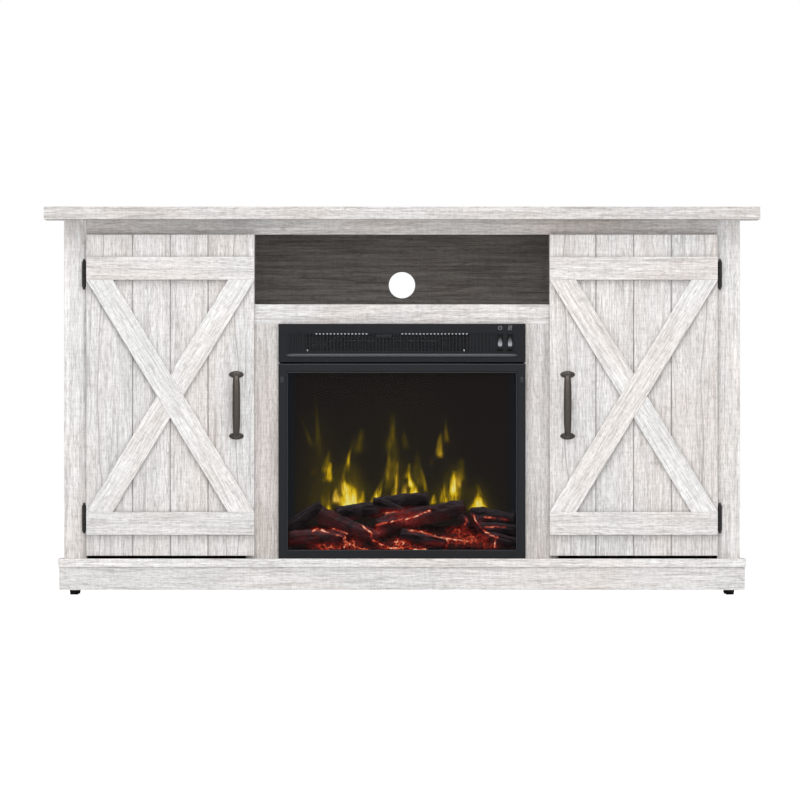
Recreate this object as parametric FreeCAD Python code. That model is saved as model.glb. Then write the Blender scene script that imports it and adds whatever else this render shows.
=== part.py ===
import FreeCAD, Part
import math
import os
from FreeCAD import Vector

# A farmhouse television stand with two barn doors and an electric fireplace insert.
# Millimetres. The origin is on the floor under the middle of the stand, the front faces -Y
# and +Z is up. "Left" is -X. Whatever has a twin on the right is made on the left and mirrored.

# ---------------------------------------------------------------- overall sizes
overall_width = 1372.0          # top panel, end to end
overall_depth = 394.0           # top panel, front to back
overall_height = 743.6          # floor to the top face

# ---------------------------------------------------------------- cabinet boards
board = 16.0                    # laminated board
top_thick = 24.2
edge_ease = 0.6                 # eased edges of every visible board
end_overhang = 38.5             # top panel past the carcass, each end
front_overhang = 49.0           # top panel past the front frame
back_overhang = 10.0            # top panel past the back panels
back_thick = 5.0                # back panels
stile_width = 44.0
top_rail_height = 29.1
media_rail_height = 37.5
bay_width = 565.6               # clear width between the partitions
base_side_lip = 12.5            # base past the carcass, each end
base_front_lip = 35.0           # base past the front frame
plinth_height = 44.0
plinth_setback = 3.0            # plinth behind the edge of the base
corner_block = 40.0             # square blocks inside the plinth
foot_height = 9.2
foot_top_radius = 9.5
foot_bottom_radius = 7.5
foot_stem_radius = 3.0
foot_stem_length = 20.0
cable_hole_radius = 25.4
cable_hole_rise = 38.3          # hole centre above the floor of the media bay
shelf_gap = 1.0                 # shelf to the panels beside it
shelf_rise = 318.0              # underside of a side shelf above the base
shelf_front_setback = 25.0
shelf_back_gap = 4.0
pin_radius = 2.5
pin_length = 18.0
pin_depth = 8.0                 # let into the board
pin_inset = 40.0                # from the front and back edge of the shelf
pin_play = 0.05

# ---------------------------------------------------------------- doors
door_overlay = 1.5              # door over the stile's inner edge
door_hang_gap = 3.0             # back of the door to the front frame
door_floor_gap = 5.7            # door above the base
trim_thick = 9.0                # applied rails and braces
door_rail_height = 44.4
upper_rail_drop = 42.5          # top of the door to the upper rail
lower_rail_rise = 39.7          # bottom of the door to the lower rail
brace_width = 43.5
brace_joint = 0.4               # joint line between the braces
plank_pitch = 72.3              # between the grooves of the planks
groove_width = 3.0
groove_depth = 2.0

# ---------------------------------------------------------------- door handles
handle_centres = 118.0          # between its two feet
handle_inset = 34.5             # from the free edge of the door
handle_drop = 19.6              # below the middle of the door
handle_foot_width = 28.6
handle_foot_height = 13.4
handle_foot_thick = 3.2
handle_reach = 28.0             # front of the grip from the door's face
handle_end_width = 10.0
handle_mid_width = 14.8
handle_grip_thick = 8.0
grip_sections = 12
screw_radius = 2.0
screw_head_radius = 3.8
screw_head_thick = 1.8
handle_screw_depth = 10.0       # past the door's face, into the handle

# ---------------------------------------------------------------- hinges
knuckle_radius = 4.0
knuckle_length = 16.0
knuckle_play = 0.3              # between knuckles, and knuckle to door or frame
hinge_pin_radius = 1.9
hinge_bore_play = 0.04
finial_length = 5.0
leaf_thick = 1.2
door_leaf_reach = 40.0
upper_hinge_drop = 76.3         # top of the door to the middle of the upper hinge
lower_hinge_rise = 72.1         # bottom of the door to the middle of the lower hinge
wood_screw_length = 12.0
screw_play = 0.05

# ---------------------------------------------------------------- fireplace insert
insert_width = 473.4            # front of the insert
insert_height = 449.7
insert_depth = 150.0
insert_proud = 10.0             # front of the insert past the front frame
insert_flange = 2.7             # front of the insert over the stiles beside it
insert_side_gap = 2.0           # casing to those stiles
sheet = 1.0                     # casing sheet steel
back_flange = 12.0              # round the back of the casing
bracket_height = 30.0
bracket_reach = 22.0
intake_slots = 22
intake_pitch = 12.0
intake_slot_width = 5.0
intake_slot_height = 30.0
gland_side = 52.0               # from the side of the casing
gland_rise = 41.0               # above the base
gland_neck_radius = 7.0
gland_flange_radius = 11.0
gland_flange_thick = 3.0
gland_bore_radius = 3.75
header_height = 73.4
header_joint = 3.0              # shadow gap between header and glass frame
header_wall = 2.5
frame_side = 17.7
frame_top = 17.0
frame_bottom = 17.0
frame_bevel = 2.5
glass_thick = 4.0
glass_lap = 8.0                 # glass behind the frame
glass_seat = 0.5                # tape between glass and frame
lip_height = 5.8
lip_rise = 13.0                 # lip above the lower edge of the header
lip_proud = 2.2
recess_height = 36.6
recess_left_margin = 17.7       # header's left end to the ribbed recess
recess_right_margin = 56.7
outlet_left_margin = 51.2       # header's left end to the open grille
outlet_right_margin = 108.7
grille_bar = 1.9
grille_pitch = 6.7
grille_play = 0.3
outlet_rim = 1.5
lip_end_margin = 16.0
recess_depth = 3.0

# ---------------------------------------------------------------- switches
rocker_width = 13.5
rocker_height = 34.0
rocker_pitch = 19.0             # between the two switches
rocker_right_margin = 29.6      # header's right end to the outer switch's middle
bezel_wall = 1.2
bezel_depth = 20.0
rocker_play = 0.3
rocker_tilt = 8.0               # degrees each side of level
rocker_pivot_depth = 6.0
rocker_axle_radius = 1.2
rocker_end_gap = 1.2            # lets the ends of the rocker swing
rocker_heel = 3.0               # back of the rocker behind its pivot
bezel_proud = 0.8

# ---------------------------------------------------------------- inside the insert
divider_rise = 372.0            # firebox roof above the base
ember_front_height = 28.0
ember_back_height = 66.0
ember_depth = 56.0
ember_side_gap = 3.0
screen_thick = 3.0
screen_setback = 66.0           # flame screen behind the glass
rotor_setback = 104.0           # rotor axis behind the glass
rotor_rise = 62.0
rotor_shaft_radius = 2.5
rotor_blade_reach = 15.0
rotor_blade_width = 14.0
rotor_blades = 12
motor_play = 0.05
rotor_motor_radius = 20.0
rotor_motor_length = 16.0
fan_radius = 22.0
fan_length = 220.0
fan_blades = 16
fan_setback = 78.0
fan_rise = 38.0                 # above the firebox roof
fan_shaft_radius = 3.0
fan_motor_radius = 21.0
fan_motor_length = 30.0
fan_clearance = 3.0
fan_blade_chord = 6.0
fan_blade_lean = 25.0
disc_thick = 1.2
housing_wall = 1.2
shaft_socket = 8.0              # shaft let into its motor
bush_radius = 6.0
bush_length = 10.0
blade_thick = 0.6
rotor_blade_turn = 75.0         # degrees from one reflector blade to the next
ember_wall = 2.0
smallest_log = 2000.0           # cubic millimetres; trimmed-off ends under this are left out
light_board_margin = 32.0       # end of a light board to the side of the casing
light_board_width = 12.0
lights_per_board = 16
board_thick = 1.6
heater_setback = 4.0
heater_depth = 18.0
heater_wall = 1.5
heater_wires = 5
heater_wire_radius = 1.0
control_board_gap = 11.0        # control board to the side of the casing
control_board_width = 72.0
control_board_depth = 84.0
control_board_setback = 23.0    # behind the front of the casing
standoff_height = 6.0
standoff_radius = 3.0


# ================================================================ worked-out places
half_width = overall_width / 2
top_under = overall_height - top_thick
rail_under = top_under - top_rail_height
base_under = foot_height + plinth_height
base_top = base_under + board
carcass_half = half_width - end_overhang
stile_inner = carcass_half - stile_width
bay_half = bay_width / 2
base_half = carcass_half + base_side_lip
plinth_half = base_half - plinth_setback
media_rail_under = base_top + insert_height
bay_floor = media_rail_under + media_rail_height

frame_front = -overall_depth / 2 + front_overhang
frame_back = frame_front + board
back_outer = overall_depth / 2 - back_overhang
back_inner = back_outer - back_thick
base_front = frame_front - base_front_lip
plinth_front_face = base_front + plinth_setback
plinth_back_face = plinth_front_face + board
side_inner = carcass_half - board
partition_outer = bay_half + board

door_outer = stile_inner + door_overlay
door_inner = bay_half
door_width = door_outer - door_inner
door_middle = (door_outer + door_inner) / 2
door_back = frame_front - door_hang_gap
door_front = door_back - board
trim_front = door_front - trim_thick
door_bottom = base_top + door_floor_gap
door_top = rail_under
lower_rail_low = door_bottom + lower_rail_rise
lower_rail_high = lower_rail_low + door_rail_height
upper_rail_high = door_top - upper_rail_drop
upper_rail_low = upper_rail_high - door_rail_height

hinge_axis_x = door_outer + knuckle_radius + knuckle_play
hinge_axis_y = frame_front - knuckle_radius - knuckle_play
hinge_heights = (door_bottom + lower_hinge_rise, door_top - upper_hinge_drop)
knuckle_offset = knuckle_length + knuckle_play

shelf_bottom = base_top + shelf_rise
shelf_front = frame_back + shelf_front_setback
shelf_back = back_inner - shelf_back_gap

insert_half = insert_width / 2
insert_front = frame_front - insert_proud
insert_top = base_top + insert_height
insert_stile_inner = insert_half - insert_flange
casing_half = insert_stile_inner - insert_side_gap
glass_front = frame_front + glass_seat
glass_back = glass_front + glass_thick
casing_front = glass_back + glass_seat
casing_back = insert_front + insert_depth
casing_top = insert_top - insert_side_gap
header_low = insert_top - header_height
glass_frame_top = header_low - header_joint
opening_half = insert_half - frame_side
opening_low = base_top + frame_bottom
opening_high = glass_frame_top - frame_top
divider_low = base_top + divider_rise
lip_low = header_low + lip_rise
recess_low = lip_low + lip_height + 1.0
recess_high = recess_low + recess_height
recess_mid = (recess_low + recess_high) / 2
recess_left = -insert_half + recess_left_margin
recess_right = insert_half - recess_right_margin
outlet_left = -insert_half + outlet_left_margin
outlet_right = insert_half - outlet_right_margin
rocker_places = (insert_half - rocker_right_margin - rocker_pitch, insert_half - rocker_right_margin)
rocker_pivot_y = insert_front + rocker_pivot_depth
gland_x = casing_half - gland_side
gland_z = base_top + gland_rise
light_board_half = casing_half - light_board_margin
control_board_x = casing_half - sheet - control_board_gap - control_board_width / 2
control_board_front = casing_front + control_board_setback
fan_centre_x = (outlet_left + outlet_right) / 2
screen_front = glass_back + screen_setback
rotor_y = glass_back + rotor_setback
rotor_z = base_top + rotor_rise
fan_y = glass_back + fan_setback
fan_z = divider_low + sheet + fan_rise


X = Vector(1, 0, 0)
Y = Vector(0, 1, 0)
Z = Vector(0, 0, 1)


# ================================================================ helpers
def box(x0, x1, y0, y1, z0, z1):
    """Plain block between two corners."""
    return Part.makeBox(x1 - x0, y1 - y0, z1 - z0, Vector(x0, y0, z0))


def eased(x0, x1, y0, y1, z0, z1):
    """Laminated board with eased edges."""
    plain = box(x0, x1, y0, y1, z0, z1)
    return plain.makeChamfer(edge_ease, plain.Edges)


def face_of(points):
    """Flat face inside a closed outline."""
    return Part.Face(Part.makePolygon(points + [points[0]]))


def along_y(outline, y0, y1):
    """Outline in X and Z, carried from y0 to y1."""
    face = face_of([Vector(x, y0, z) for x, z in outline])
    return face.extrude(Vector(0, y1 - y0, 0))


def along_z(outline, z0, z1):
    """Outline in X and Y, carried from z0 to z1."""
    face = face_of([Vector(x, y, z0) for x, y in outline])
    return face.extrude(Vector(0, 0, z1 - z0))


def along_x(outline, x0, x1):
    """Outline in Y and Z, carried from x0 to x1."""
    face = face_of([Vector(x0, y, z) for y, z in outline])
    return face.extrude(Vector(x1 - x0, 0, 0))


def rod(radius, length, start, direction):
    """Round bar from a start point along a direction."""
    return Part.makeCylinder(radius, length, start, direction)


def mirrored(shape):
    """Right-hand twin of a left-hand shape."""
    return shape.mirror(Vector(0, 0, 0), Vector(1, 0, 0))


def one_solid(shape):
    """The single solid left by a boolean."""
    return shape.removeSplitter().Solids[0]


def save(name, shapes):
    """Write one node, made of one or more solids, to parts/NAME.step."""
    shape = shapes[0] if len(shapes) == 1 else Part.makeCompound(shapes)
    shape.exportStep("parts/" + name + ".step")


def save_pair(name, shapes):
    """Write a left-hand node and its mirrored right-hand twin."""
    save("left_" + name, shapes)
    save("right_" + name, [mirrored(shape) for shape in shapes])


# ================================================================ cabinet
def pin_places():
    """Middles of the left cabinet's shelf pins, each with the way it points out of its board."""
    z = shelf_bottom - pin_radius
    rows = (shelf_front + pin_inset, shelf_back - pin_inset)
    outer = [(Vector(-side_inner, y, z), X) for y in rows]
    inner = [(Vector(-partition_outer, y, z), -X) for y in rows]
    return outer, inner


def drill_pin_holes(panel, places):
    """Blind holes for the shelf pins."""
    for place, way in places:
        start = place - way * pin_depth
        panel = panel.cut(rod(pin_radius + pin_play, pin_depth + 1, start, way))
    return panel


def make_top():
    save("top_panel", [eased(-half_width, half_width, -overall_depth / 2, overall_depth / 2,
                             top_under, overall_height)])


def make_front_frame():
    """The rail under the top, the rail under the bay and the stiles beside the insert."""
    save("top_rail", [eased(-stile_inner, stile_inner, frame_front, frame_back, rail_under, top_under)])
    save("media_rail", [eased(-bay_half, bay_half, frame_front, frame_back, media_rail_under, bay_floor)])
    stile = eased(-bay_half, -insert_stile_inner, frame_front, frame_back, base_top, media_rail_under)
    save("insert_stiles", [stile, mirrored(stile)])


def make_panels():
    """Upright panels behind the front frame, and the base under them."""
    outer_pins, inner_pins = pin_places()
    side = box(-carcass_half, -side_inner, frame_back, back_inner, base_top, top_under)
    save_pair("side_panel", [drill_pin_holes(side, outer_pins)])
    behind_rail = box(-partition_outer, -bay_half, frame_back, back_inner, base_top, top_under)
    lower_front = box(-partition_outer, -bay_half, frame_front, frame_back, base_top, rail_under)
    partition = one_solid(behind_rail.fuse(lower_front))
    save_pair("partition", [drill_pin_holes(partition, inner_pins)])
    save("base_panel", [eased(-base_half, base_half, base_front, back_outer, base_under, base_top)])


def make_shelves():
    """Floor of the media bay, and the loose side shelves on their pins."""
    save("media_shelf", [box(-bay_half, bay_half, frame_back, back_inner, bay_floor - board, bay_floor)])
    shelf = box(-side_inner + shelf_gap, -partition_outer - shelf_gap, shelf_front, shelf_back,
                shelf_bottom, shelf_bottom + board)
    save("side_shelves", [shelf, mirrored(shelf)])
    outer_pins, inner_pins = pin_places()
    pins = [rod(pin_radius, pin_length, place - way * pin_depth, way)
            for place, way in outer_pins + inner_pins]
    save("shelf_pins", pins + [mirrored(pin) for pin in pins])


def make_backs():
    """Three back panels that meet on the partitions, with a cable hole in the middle one."""
    seam = bay_half + board / 2
    save_pair("back_panel", [box(-carcass_half, -seam, back_inner, back_outer, base_top, top_under)])
    middle = box(-seam, seam, back_inner, back_outer, base_top, top_under)
    for height in (bay_floor + cable_hole_rise, base_top + cable_hole_rise):
        middle = middle.cut(rod(cable_hole_radius, back_thick, Vector(0, back_inner, height), Y))
    save("centre_back_panel", [middle])


def make_plinth():
    """Board under the base, corner blocks behind it, and the feet that screw into the blocks."""
    save("plinth_front", [eased(-plinth_half, plinth_half, plinth_front_face, plinth_back_face,
                                foot_height, base_under)])
    end = box(-plinth_half, -plinth_half + board, plinth_back_face, back_inner, foot_height, base_under)
    save("plinth_ends", [end, mirrored(end)])
    block_x = -plinth_half + board
    foot_x = block_x + corner_block / 2 - 7.0
    blocks = []
    feet = []
    for block_y in (plinth_back_face, back_inner - corner_block):
        foot_y = block_y + corner_block / 2
        block = box(block_x, block_x + corner_block, block_y, block_y + corner_block, foot_height, base_under)
        stem = rod(foot_stem_radius, foot_stem_length, Vector(foot_x, foot_y, foot_height), Z)
        blocks.append(block.cut(stem))
        pad = Part.makeCone(foot_bottom_radius, foot_top_radius, foot_height, Vector(foot_x, foot_y, 0), Z)
        feet.append(one_solid(pad.fuse(stem)))
    save("corner_blocks", blocks + [mirrored(block) for block in blocks])
    save("feet", feet + [mirrored(foot) for foot in feet])


# ================================================================ doors
def brace_foot_width(width, height):
    """Level width of a brace that runs corner to corner across a door field of this size."""
    a = height ** 2 - brace_width ** 2
    b = 2 * brace_width ** 2 * width
    c = -brace_width ** 2 * (width ** 2 + height ** 2)
    return (-b + math.sqrt(b ** 2 - 4 * a * c)) / (2 * a)


def brace_outline(top_x, bottom_x, foot, low, high):
    """Parallelogram from the upper edge at top_x to the lower edge at bottom_x; foot may be negative."""
    return [(top_x, high), (top_x + foot, high), (bottom_x, low), (bottom_x - foot, low)]


def make_door_panel():
    """Planked door panel: V grooves down its whole front face."""
    panel = eased(-door_outer, -door_inner, door_front, door_back, door_bottom, door_top)
    for step in (-1, 0, 1):
        groove_x = -door_middle + step * plank_pitch
        vee = [(groove_x - groove_width / 2, door_front), (groove_x + groove_width / 2, door_front),
               (groove_x, door_front + groove_depth)]
        panel = panel.cut(along_z(vee, door_bottom, door_top))
    return panel


def make_door_trim():
    """Two applied rails and the crossed braces between them."""
    rails = [eased(-door_outer, -door_inner, trim_front, door_front, low, low + door_rail_height)
             for low in (lower_rail_low, upper_rail_low)]
    foot = brace_foot_width(door_width, upper_rail_low - lower_rail_high)
    falling = brace_outline(-door_outer, -door_inner, foot, lower_rail_high, upper_rail_low)
    rising = brace_outline(-door_inner, -door_outer, -foot, lower_rail_high, upper_rail_low)
    long_brace = along_y(falling, trim_front, door_front)
    shifts = (-brace_joint, brace_joint, brace_joint, -brace_joint)
    slot = [(x + shift, z) for (x, z), shift in zip(falling, shifts)]
    cutter = along_y(slot, trim_front - 1, door_front + 1)
    short_braces = along_y(rising, trim_front, door_front).cut(cutter).Solids
    return rails, long_brace, short_braces


def grip_point(turn):
    """Point of the grip's middle line, above the door's face and along it, at a turn from 0 to pi.

    A flattened half-oval: it leaves the door squarely and runs nearly straight in between.
    """
    rise = math.copysign(math.sqrt(abs(math.cos(turn))), math.cos(turn)) * handle_centres / 2
    reach = math.sqrt(abs(math.sin(turn))) * (handle_reach - handle_grip_thick / 2)
    return Vector(0, -reach, rise)


def grip_section(centre, along, width):
    """Elliptic section of the grip, square to the line that it follows."""
    across = Vector(0, -along.z, along.y)
    oval = Part.Ellipse(centre + X * width / 2, centre + across * handle_grip_thick / 2, centre)
    return Part.Wire(oval.toShape())


def make_handle():
    """Bow handle: two oval feet and a grip that swells towards its middle."""
    handle_x = -door_inner - handle_inset
    handle_z = (door_bottom + door_top) / 2 - handle_drop
    origin = Vector(handle_x, door_front, handle_z)
    sections = []
    turns = [math.pi * step / grip_sections for step in range(grip_sections + 1)]
    for step, turn in enumerate(turns):
        before = grip_point(turns[max(step - 1, 0)])
        after = grip_point(turns[min(step + 1, grip_sections)])
        along = (after - before).normalize()
        if step == 0:
            along = -Y
        if step == grip_sections:
            along = Y
        width = handle_end_width + (handle_mid_width - handle_end_width) * math.sin(turn) ** 2
        sections.append(grip_section(origin + grip_point(turn), along, width))
    handle = Part.makeLoft(sections, True)
    for end in (-1, 1):
        middle = origin + Z * end * handle_centres / 2
        oval = Part.Ellipse(middle + X * handle_foot_width / 2, middle + Z * handle_foot_height / 2, middle)
        foot = Part.Face(Part.Wire(oval.toShape())).extrude(-Y * handle_foot_thick)
        handle = handle.fuse(foot)
    return one_solid(handle), origin


def wood_screw(head, way, length):
    """Round-headed screw whose head sits under the point head, its shank running along way."""
    cap = rod(screw_head_radius, screw_head_thick, head - way * screw_head_thick, way)
    return one_solid(cap.fuse(rod(screw_radius, length, head, way)))


def drilled(body, screws):
    """A piece with a clearance hole for each screw, given by its head, way and length."""
    for head, way, length in screws:
        body = body.cut(rod(screw_radius + screw_play, length, head, way))
    return body


def hinge_screw_places():
    """Screws of the two left hinges: those into the stile's edge, and those into the door's back."""
    edge_x = -stile_inner + leaf_thick
    door_x = -door_outer + door_leaf_reach - 2 * screw_head_radius
    stile_screws = []
    door_screws = []
    for middle in hinge_heights:
        for offset in (-knuckle_length, knuckle_length):
            height = middle + offset
            stile_screws.append((Vector(edge_x, frame_front + board / 2, height), -X, wood_screw_length))
            door_screws.append((Vector(door_x, door_back + leaf_thick, height), -Y, wood_screw_length))
    return stile_screws, door_screws


def knuckle(middle):
    """Outside of one hinge knuckle, before its bore."""
    low = Vector(-hinge_axis_x, hinge_axis_y, middle - knuckle_length / 2)
    return rod(knuckle_radius, knuckle_length, low, Z)


def hinge_bore(middle):
    """What the pin's hole takes out of a hinge."""
    low = Vector(-hinge_axis_x, hinge_axis_y, middle - 2 * knuckle_length)
    return rod(hinge_pin_radius + hinge_bore_play, 4 * knuckle_length, low, Z)


def frame_leaf(middle, screws):
    """Leaf with the two outer knuckles. It lies on the stile and wraps round its inner edge."""
    half = 1.5 * knuckle_length + knuckle_play
    front = box(-hinge_axis_x, -stile_inner + leaf_thick, frame_front - leaf_thick, frame_front,
                middle - half, middle + half)
    wrap = box(-stile_inner, -stile_inner + leaf_thick, frame_front - leaf_thick, frame_back - 2 * leaf_thick,
               middle - half, middle + half)
    half_notch = knuckle_length / 2 + knuckle_play
    notch = box(-hinge_axis_x - 1, -hinge_axis_x + knuckle_radius + knuckle_play,
                frame_front - 2 * leaf_thick, frame_front + 1, middle - half_notch, middle + half_notch)
    leaf = front.fuse([wrap, knuckle(middle - knuckle_offset), knuckle(middle + knuckle_offset)])
    return one_solid(drilled(leaf.cut(notch).cut(hinge_bore(middle)), screws))


def door_leaf(middle, screws):
    """Leaf with the middle knuckle, screwed to the back of the door."""
    half = 1.5 * knuckle_length + knuckle_play
    plate = box(-door_outer, -door_outer + door_leaf_reach, door_back, door_back + leaf_thick,
                middle - half, middle + half)
    neck = box(-hinge_axis_x, -door_outer, door_back, door_back + leaf_thick,
               middle - knuckle_length / 2, middle + knuckle_length / 2)
    return one_solid(drilled(plate.fuse([neck, knuckle(middle)]).cut(hinge_bore(middle)), screws))


def hinge_pin(middle):
    """Pin with a tapered finial at each end."""
    half = 1.5 * knuckle_length + knuckle_play
    low = Vector(-hinge_axis_x, hinge_axis_y, middle - half)
    high = Vector(-hinge_axis_x, hinge_axis_y, middle + half)
    shank = rod(hinge_pin_radius, 2 * half, low, Z)
    wide = knuckle_radius * 0.75
    tips = [Part.makeCone(wide, wide / 2, finial_length, high, Z),
            Part.makeCone(wide, wide / 2, finial_length, low, -Z)]
    return one_solid(shank.fuse(tips))


def make_doors():
    """Both doors with their trim, handles, hinge leaves and screws, and the hinge halves on the stiles."""
    stile_screws, door_screws = hinge_screw_places()
    handle, origin = make_handle()
    handle_screws = [(Vector(origin.x, door_back, origin.z + end * handle_centres / 2), -Y,
                      board + handle_screw_depth) for end in (-1, 1)]
    rails, long_brace, short_braces = make_door_trim()
    save_pair("door_panel", [drilled(make_door_panel(), door_screws + handle_screws)])
    save_pair("door_rails", rails)
    save_pair("long_brace", [long_brace])
    save_pair("short_braces", short_braces)
    save_pair("door_handle", [one_solid(drilled(handle, handle_screws))])
    save_pair("door_hinge_leaves", [door_leaf(middle, door_screws) for middle in hinge_heights])
    save_pair("door_screws", [wood_screw(*screw) for screw in door_screws + handle_screws])
    leaves = [frame_leaf(middle, stile_screws) for middle in hinge_heights]
    save("hinge_frame_leaves", leaves + [mirrored(leaf) for leaf in leaves])
    pins = [hinge_pin(middle) for middle in hinge_heights]
    save("hinge_pins", pins + [mirrored(pin) for pin in pins])
    stile = eased(-carcass_half, -stile_inner, frame_front, frame_back, base_top, top_under)
    save_pair("stile", [drilled(stile, stile_screws)])
    screws = [wood_screw(*screw) for screw in stile_screws]
    return screws + [mirrored(screw) for screw in screws]


# ================================================================ fireplace insert: the outside
def make_casing():
    """Sheet-steel box, open at the front, with a roof over the firebox and a flange round its back."""
    rear = casing_back - sheet
    outer = box(-casing_half, casing_half, casing_front, rear, base_top, casing_top)
    inner = box(-casing_half + sheet, casing_half - sheet, casing_front, rear - sheet,
                base_top + sheet, casing_top - sheet)
    window = box(-casing_half + back_flange, casing_half - back_flange, rear - sheet, rear,
                 base_top + back_flange, casing_top - back_flange)
    roof = box(-casing_half + sheet, casing_half - sheet, casing_front, rear - sheet,
               divider_low, divider_low + sheet)
    bush_x = casing_half - sheet - bush_length
    bush = rod(bush_radius, bush_length, Vector(bush_x, rotor_y, rotor_z), X)
    bore = rod(rotor_shaft_radius + motor_play, bush_length, Vector(bush_x, rotor_y, rotor_z), X)
    casing = outer.cut([inner, window]).fuse([roof, bush]).cut(bore)
    save("insert_casing", [one_solid(drilled(casing, rear_screw_places()))])


def rear_screw_places():
    """Screws through the rear cover into the flange of the casing."""
    inset = back_flange / 2
    rows = (base_top + inset, (base_top + casing_top) / 2, casing_top - inset)
    length = 4 * sheet
    return [(Vector(side * (casing_half - inset), casing_back, height), -Y, length)
            for side in (-1, 1) for height in rows]


def make_rear_cover():
    """Flat cover with intake slots behind the fan, and a hole for the cord gland."""
    cover = box(-casing_half, casing_half, casing_back - sheet, casing_back, base_top, casing_top)
    first = fan_centre_x - (intake_slots - 1) * intake_pitch / 2
    slots = []
    for step in range(intake_slots):
        left = first + step * intake_pitch - intake_slot_width / 2
        slots.append(box(left, left + intake_slot_width, casing_back - 2 * sheet, casing_back + sheet,
                         fan_z - intake_slot_height / 2, fan_z + intake_slot_height / 2))
    gland_hole = rod(gland_neck_radius, 3 * sheet, Vector(gland_x, casing_back - 2 * sheet, gland_z), Y)
    save("insert_rear_cover", [drilled(cover.cut(slots + [gland_hole]), rear_screw_places())])


def make_gland():
    """Cord gland: a neck through the rear cover, a flange outside and a nut inside, bored for the cord."""
    flange = rod(gland_flange_radius, gland_flange_thick, Vector(gland_x, casing_back, gland_z), Y)
    neck = rod(gland_neck_radius, 2 * gland_flange_thick + sheet,
               Vector(gland_x, casing_back - sheet - gland_flange_thick, gland_z), Y)
    nut = rod(gland_flange_radius * 0.85, gland_flange_thick - 0.1,
              Vector(gland_x, casing_back - sheet - gland_flange_thick, gland_z), Y)
    bore = rod(gland_bore_radius, 4 * gland_flange_thick,
               Vector(gland_x, casing_back - 2 * gland_flange_thick, gland_z), Y)
    save("cord_gland", [one_solid(neck.fuse([flange, nut]).cut(bore))])


def make_header():
    """Moulded panel above the glass: a rounded lip, a recess round the outlet, and the switch holes."""
    outer = box(-insert_half, insert_half, insert_front, frame_front, header_low, insert_top)
    outer = outer.makeChamfer(edge_ease, outer.Edges)
    hollow = box(-insert_half + header_wall, insert_half - header_wall, insert_front + header_wall,
                 frame_front, header_low + header_wall, insert_top - header_wall)
    lip_radius = lip_height / 2
    lip_start = Vector(-insert_half + lip_end_margin, insert_front + lip_radius - lip_proud,
                       lip_low + lip_radius)
    lip = rod(lip_radius, 2 * (insert_half - lip_end_margin), lip_start, X)
    floor = insert_front + recess_depth
    backing = box(recess_left - header_wall, recess_right + header_wall, insert_front + header_wall,
                  floor + header_wall, recess_low - header_wall, recess_high + header_wall)
    recess = box(recess_left, recess_right, insert_front - 1, floor, recess_low, recess_high)
    outlet = box(outlet_left, outlet_right, insert_front - 1, frame_front, recess_low + outlet_rim,
                 recess_high - outlet_rim)
    holes = [box(middle - rocker_width / 2, middle + rocker_width / 2, insert_front - lip_height, frame_front,
                 recess_mid - rocker_height / 2, recess_mid + rocker_height / 2) for middle in rocker_places]
    save("insert_header", [one_solid(outer.cut(hollow).fuse([lip, backing]).cut([recess, outlet] + holes))])


def make_grille():
    """Comb of upright bars in the recess, tied along its top and bottom."""
    left = recess_left + grille_play
    right = recess_right - grille_play
    low = recess_low + grille_play
    high = recess_high - grille_play
    front = insert_front + grille_play
    back = insert_front + recess_depth
    ties = [box(left, right, front + grille_play, back, low, low + outlet_rim),
            box(left, right, front + grille_play, back, high - outlet_rim, high)]
    count = int((right - left - grille_bar) / grille_pitch)
    first = (left + right - count * grille_pitch) / 2
    bars = [box(first + step * grille_pitch - grille_bar / 2, first + step * grille_pitch + grille_bar / 2,
                front, back, low, high) for step in range(count + 1)]
    save("outlet_grille", [one_solid(ties[0].fuse([ties[1]] + bars))])


def make_glass_front():
    """Bevelled frame and the tempered pane behind it."""
    frame = box(-insert_half, insert_half, insert_front, frame_front, base_top, glass_frame_top)
    frame = frame.makeChamfer(edge_ease, frame.Edges)
    opening = box(-opening_half, opening_half, insert_front, frame_front, opening_low, opening_high)
    frame = frame.cut(opening)
    inner_edges = [edge for edge in frame.Edges if is_bevelled(edge.BoundBox)]
    save("glass_frame", [frame.makeChamfer(frame_bevel, inner_edges)])
    save("glass_pane", [eased(-opening_half - glass_lap, opening_half + glass_lap, glass_front, glass_back,
                              opening_low - glass_lap, opening_high + glass_lap)])


def is_bevelled(bounds):
    """Whether an edge of the glass frame lies on its front face, round the opening."""
    in_front = abs(bounds.YMin - insert_front) < 0.001 and abs(bounds.YMax - insert_front) < 0.001
    inside = max(abs(bounds.XMin), abs(bounds.XMax)) < opening_half + 0.001
    return in_front and inside and bounds.ZMin > opening_low - 0.001 and bounds.ZMax < opening_high + 0.001


def make_brackets():
    """Angle brackets behind the insert's stiles that hold the casing."""
    middle = (base_top + casing_top) / 2
    low = middle - bracket_height / 2
    on_stile = box(-casing_half - bracket_reach, -casing_half, frame_back, frame_back + leaf_thick, low,
                   low + bracket_height)
    on_casing = box(-casing_half - leaf_thick, -casing_half, frame_back, frame_back + bracket_reach, low,
                    low + bracket_height)
    bracket = one_solid(on_stile.fuse(on_casing))
    save("insert_brackets", [bracket, mirrored(bracket)])


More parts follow.
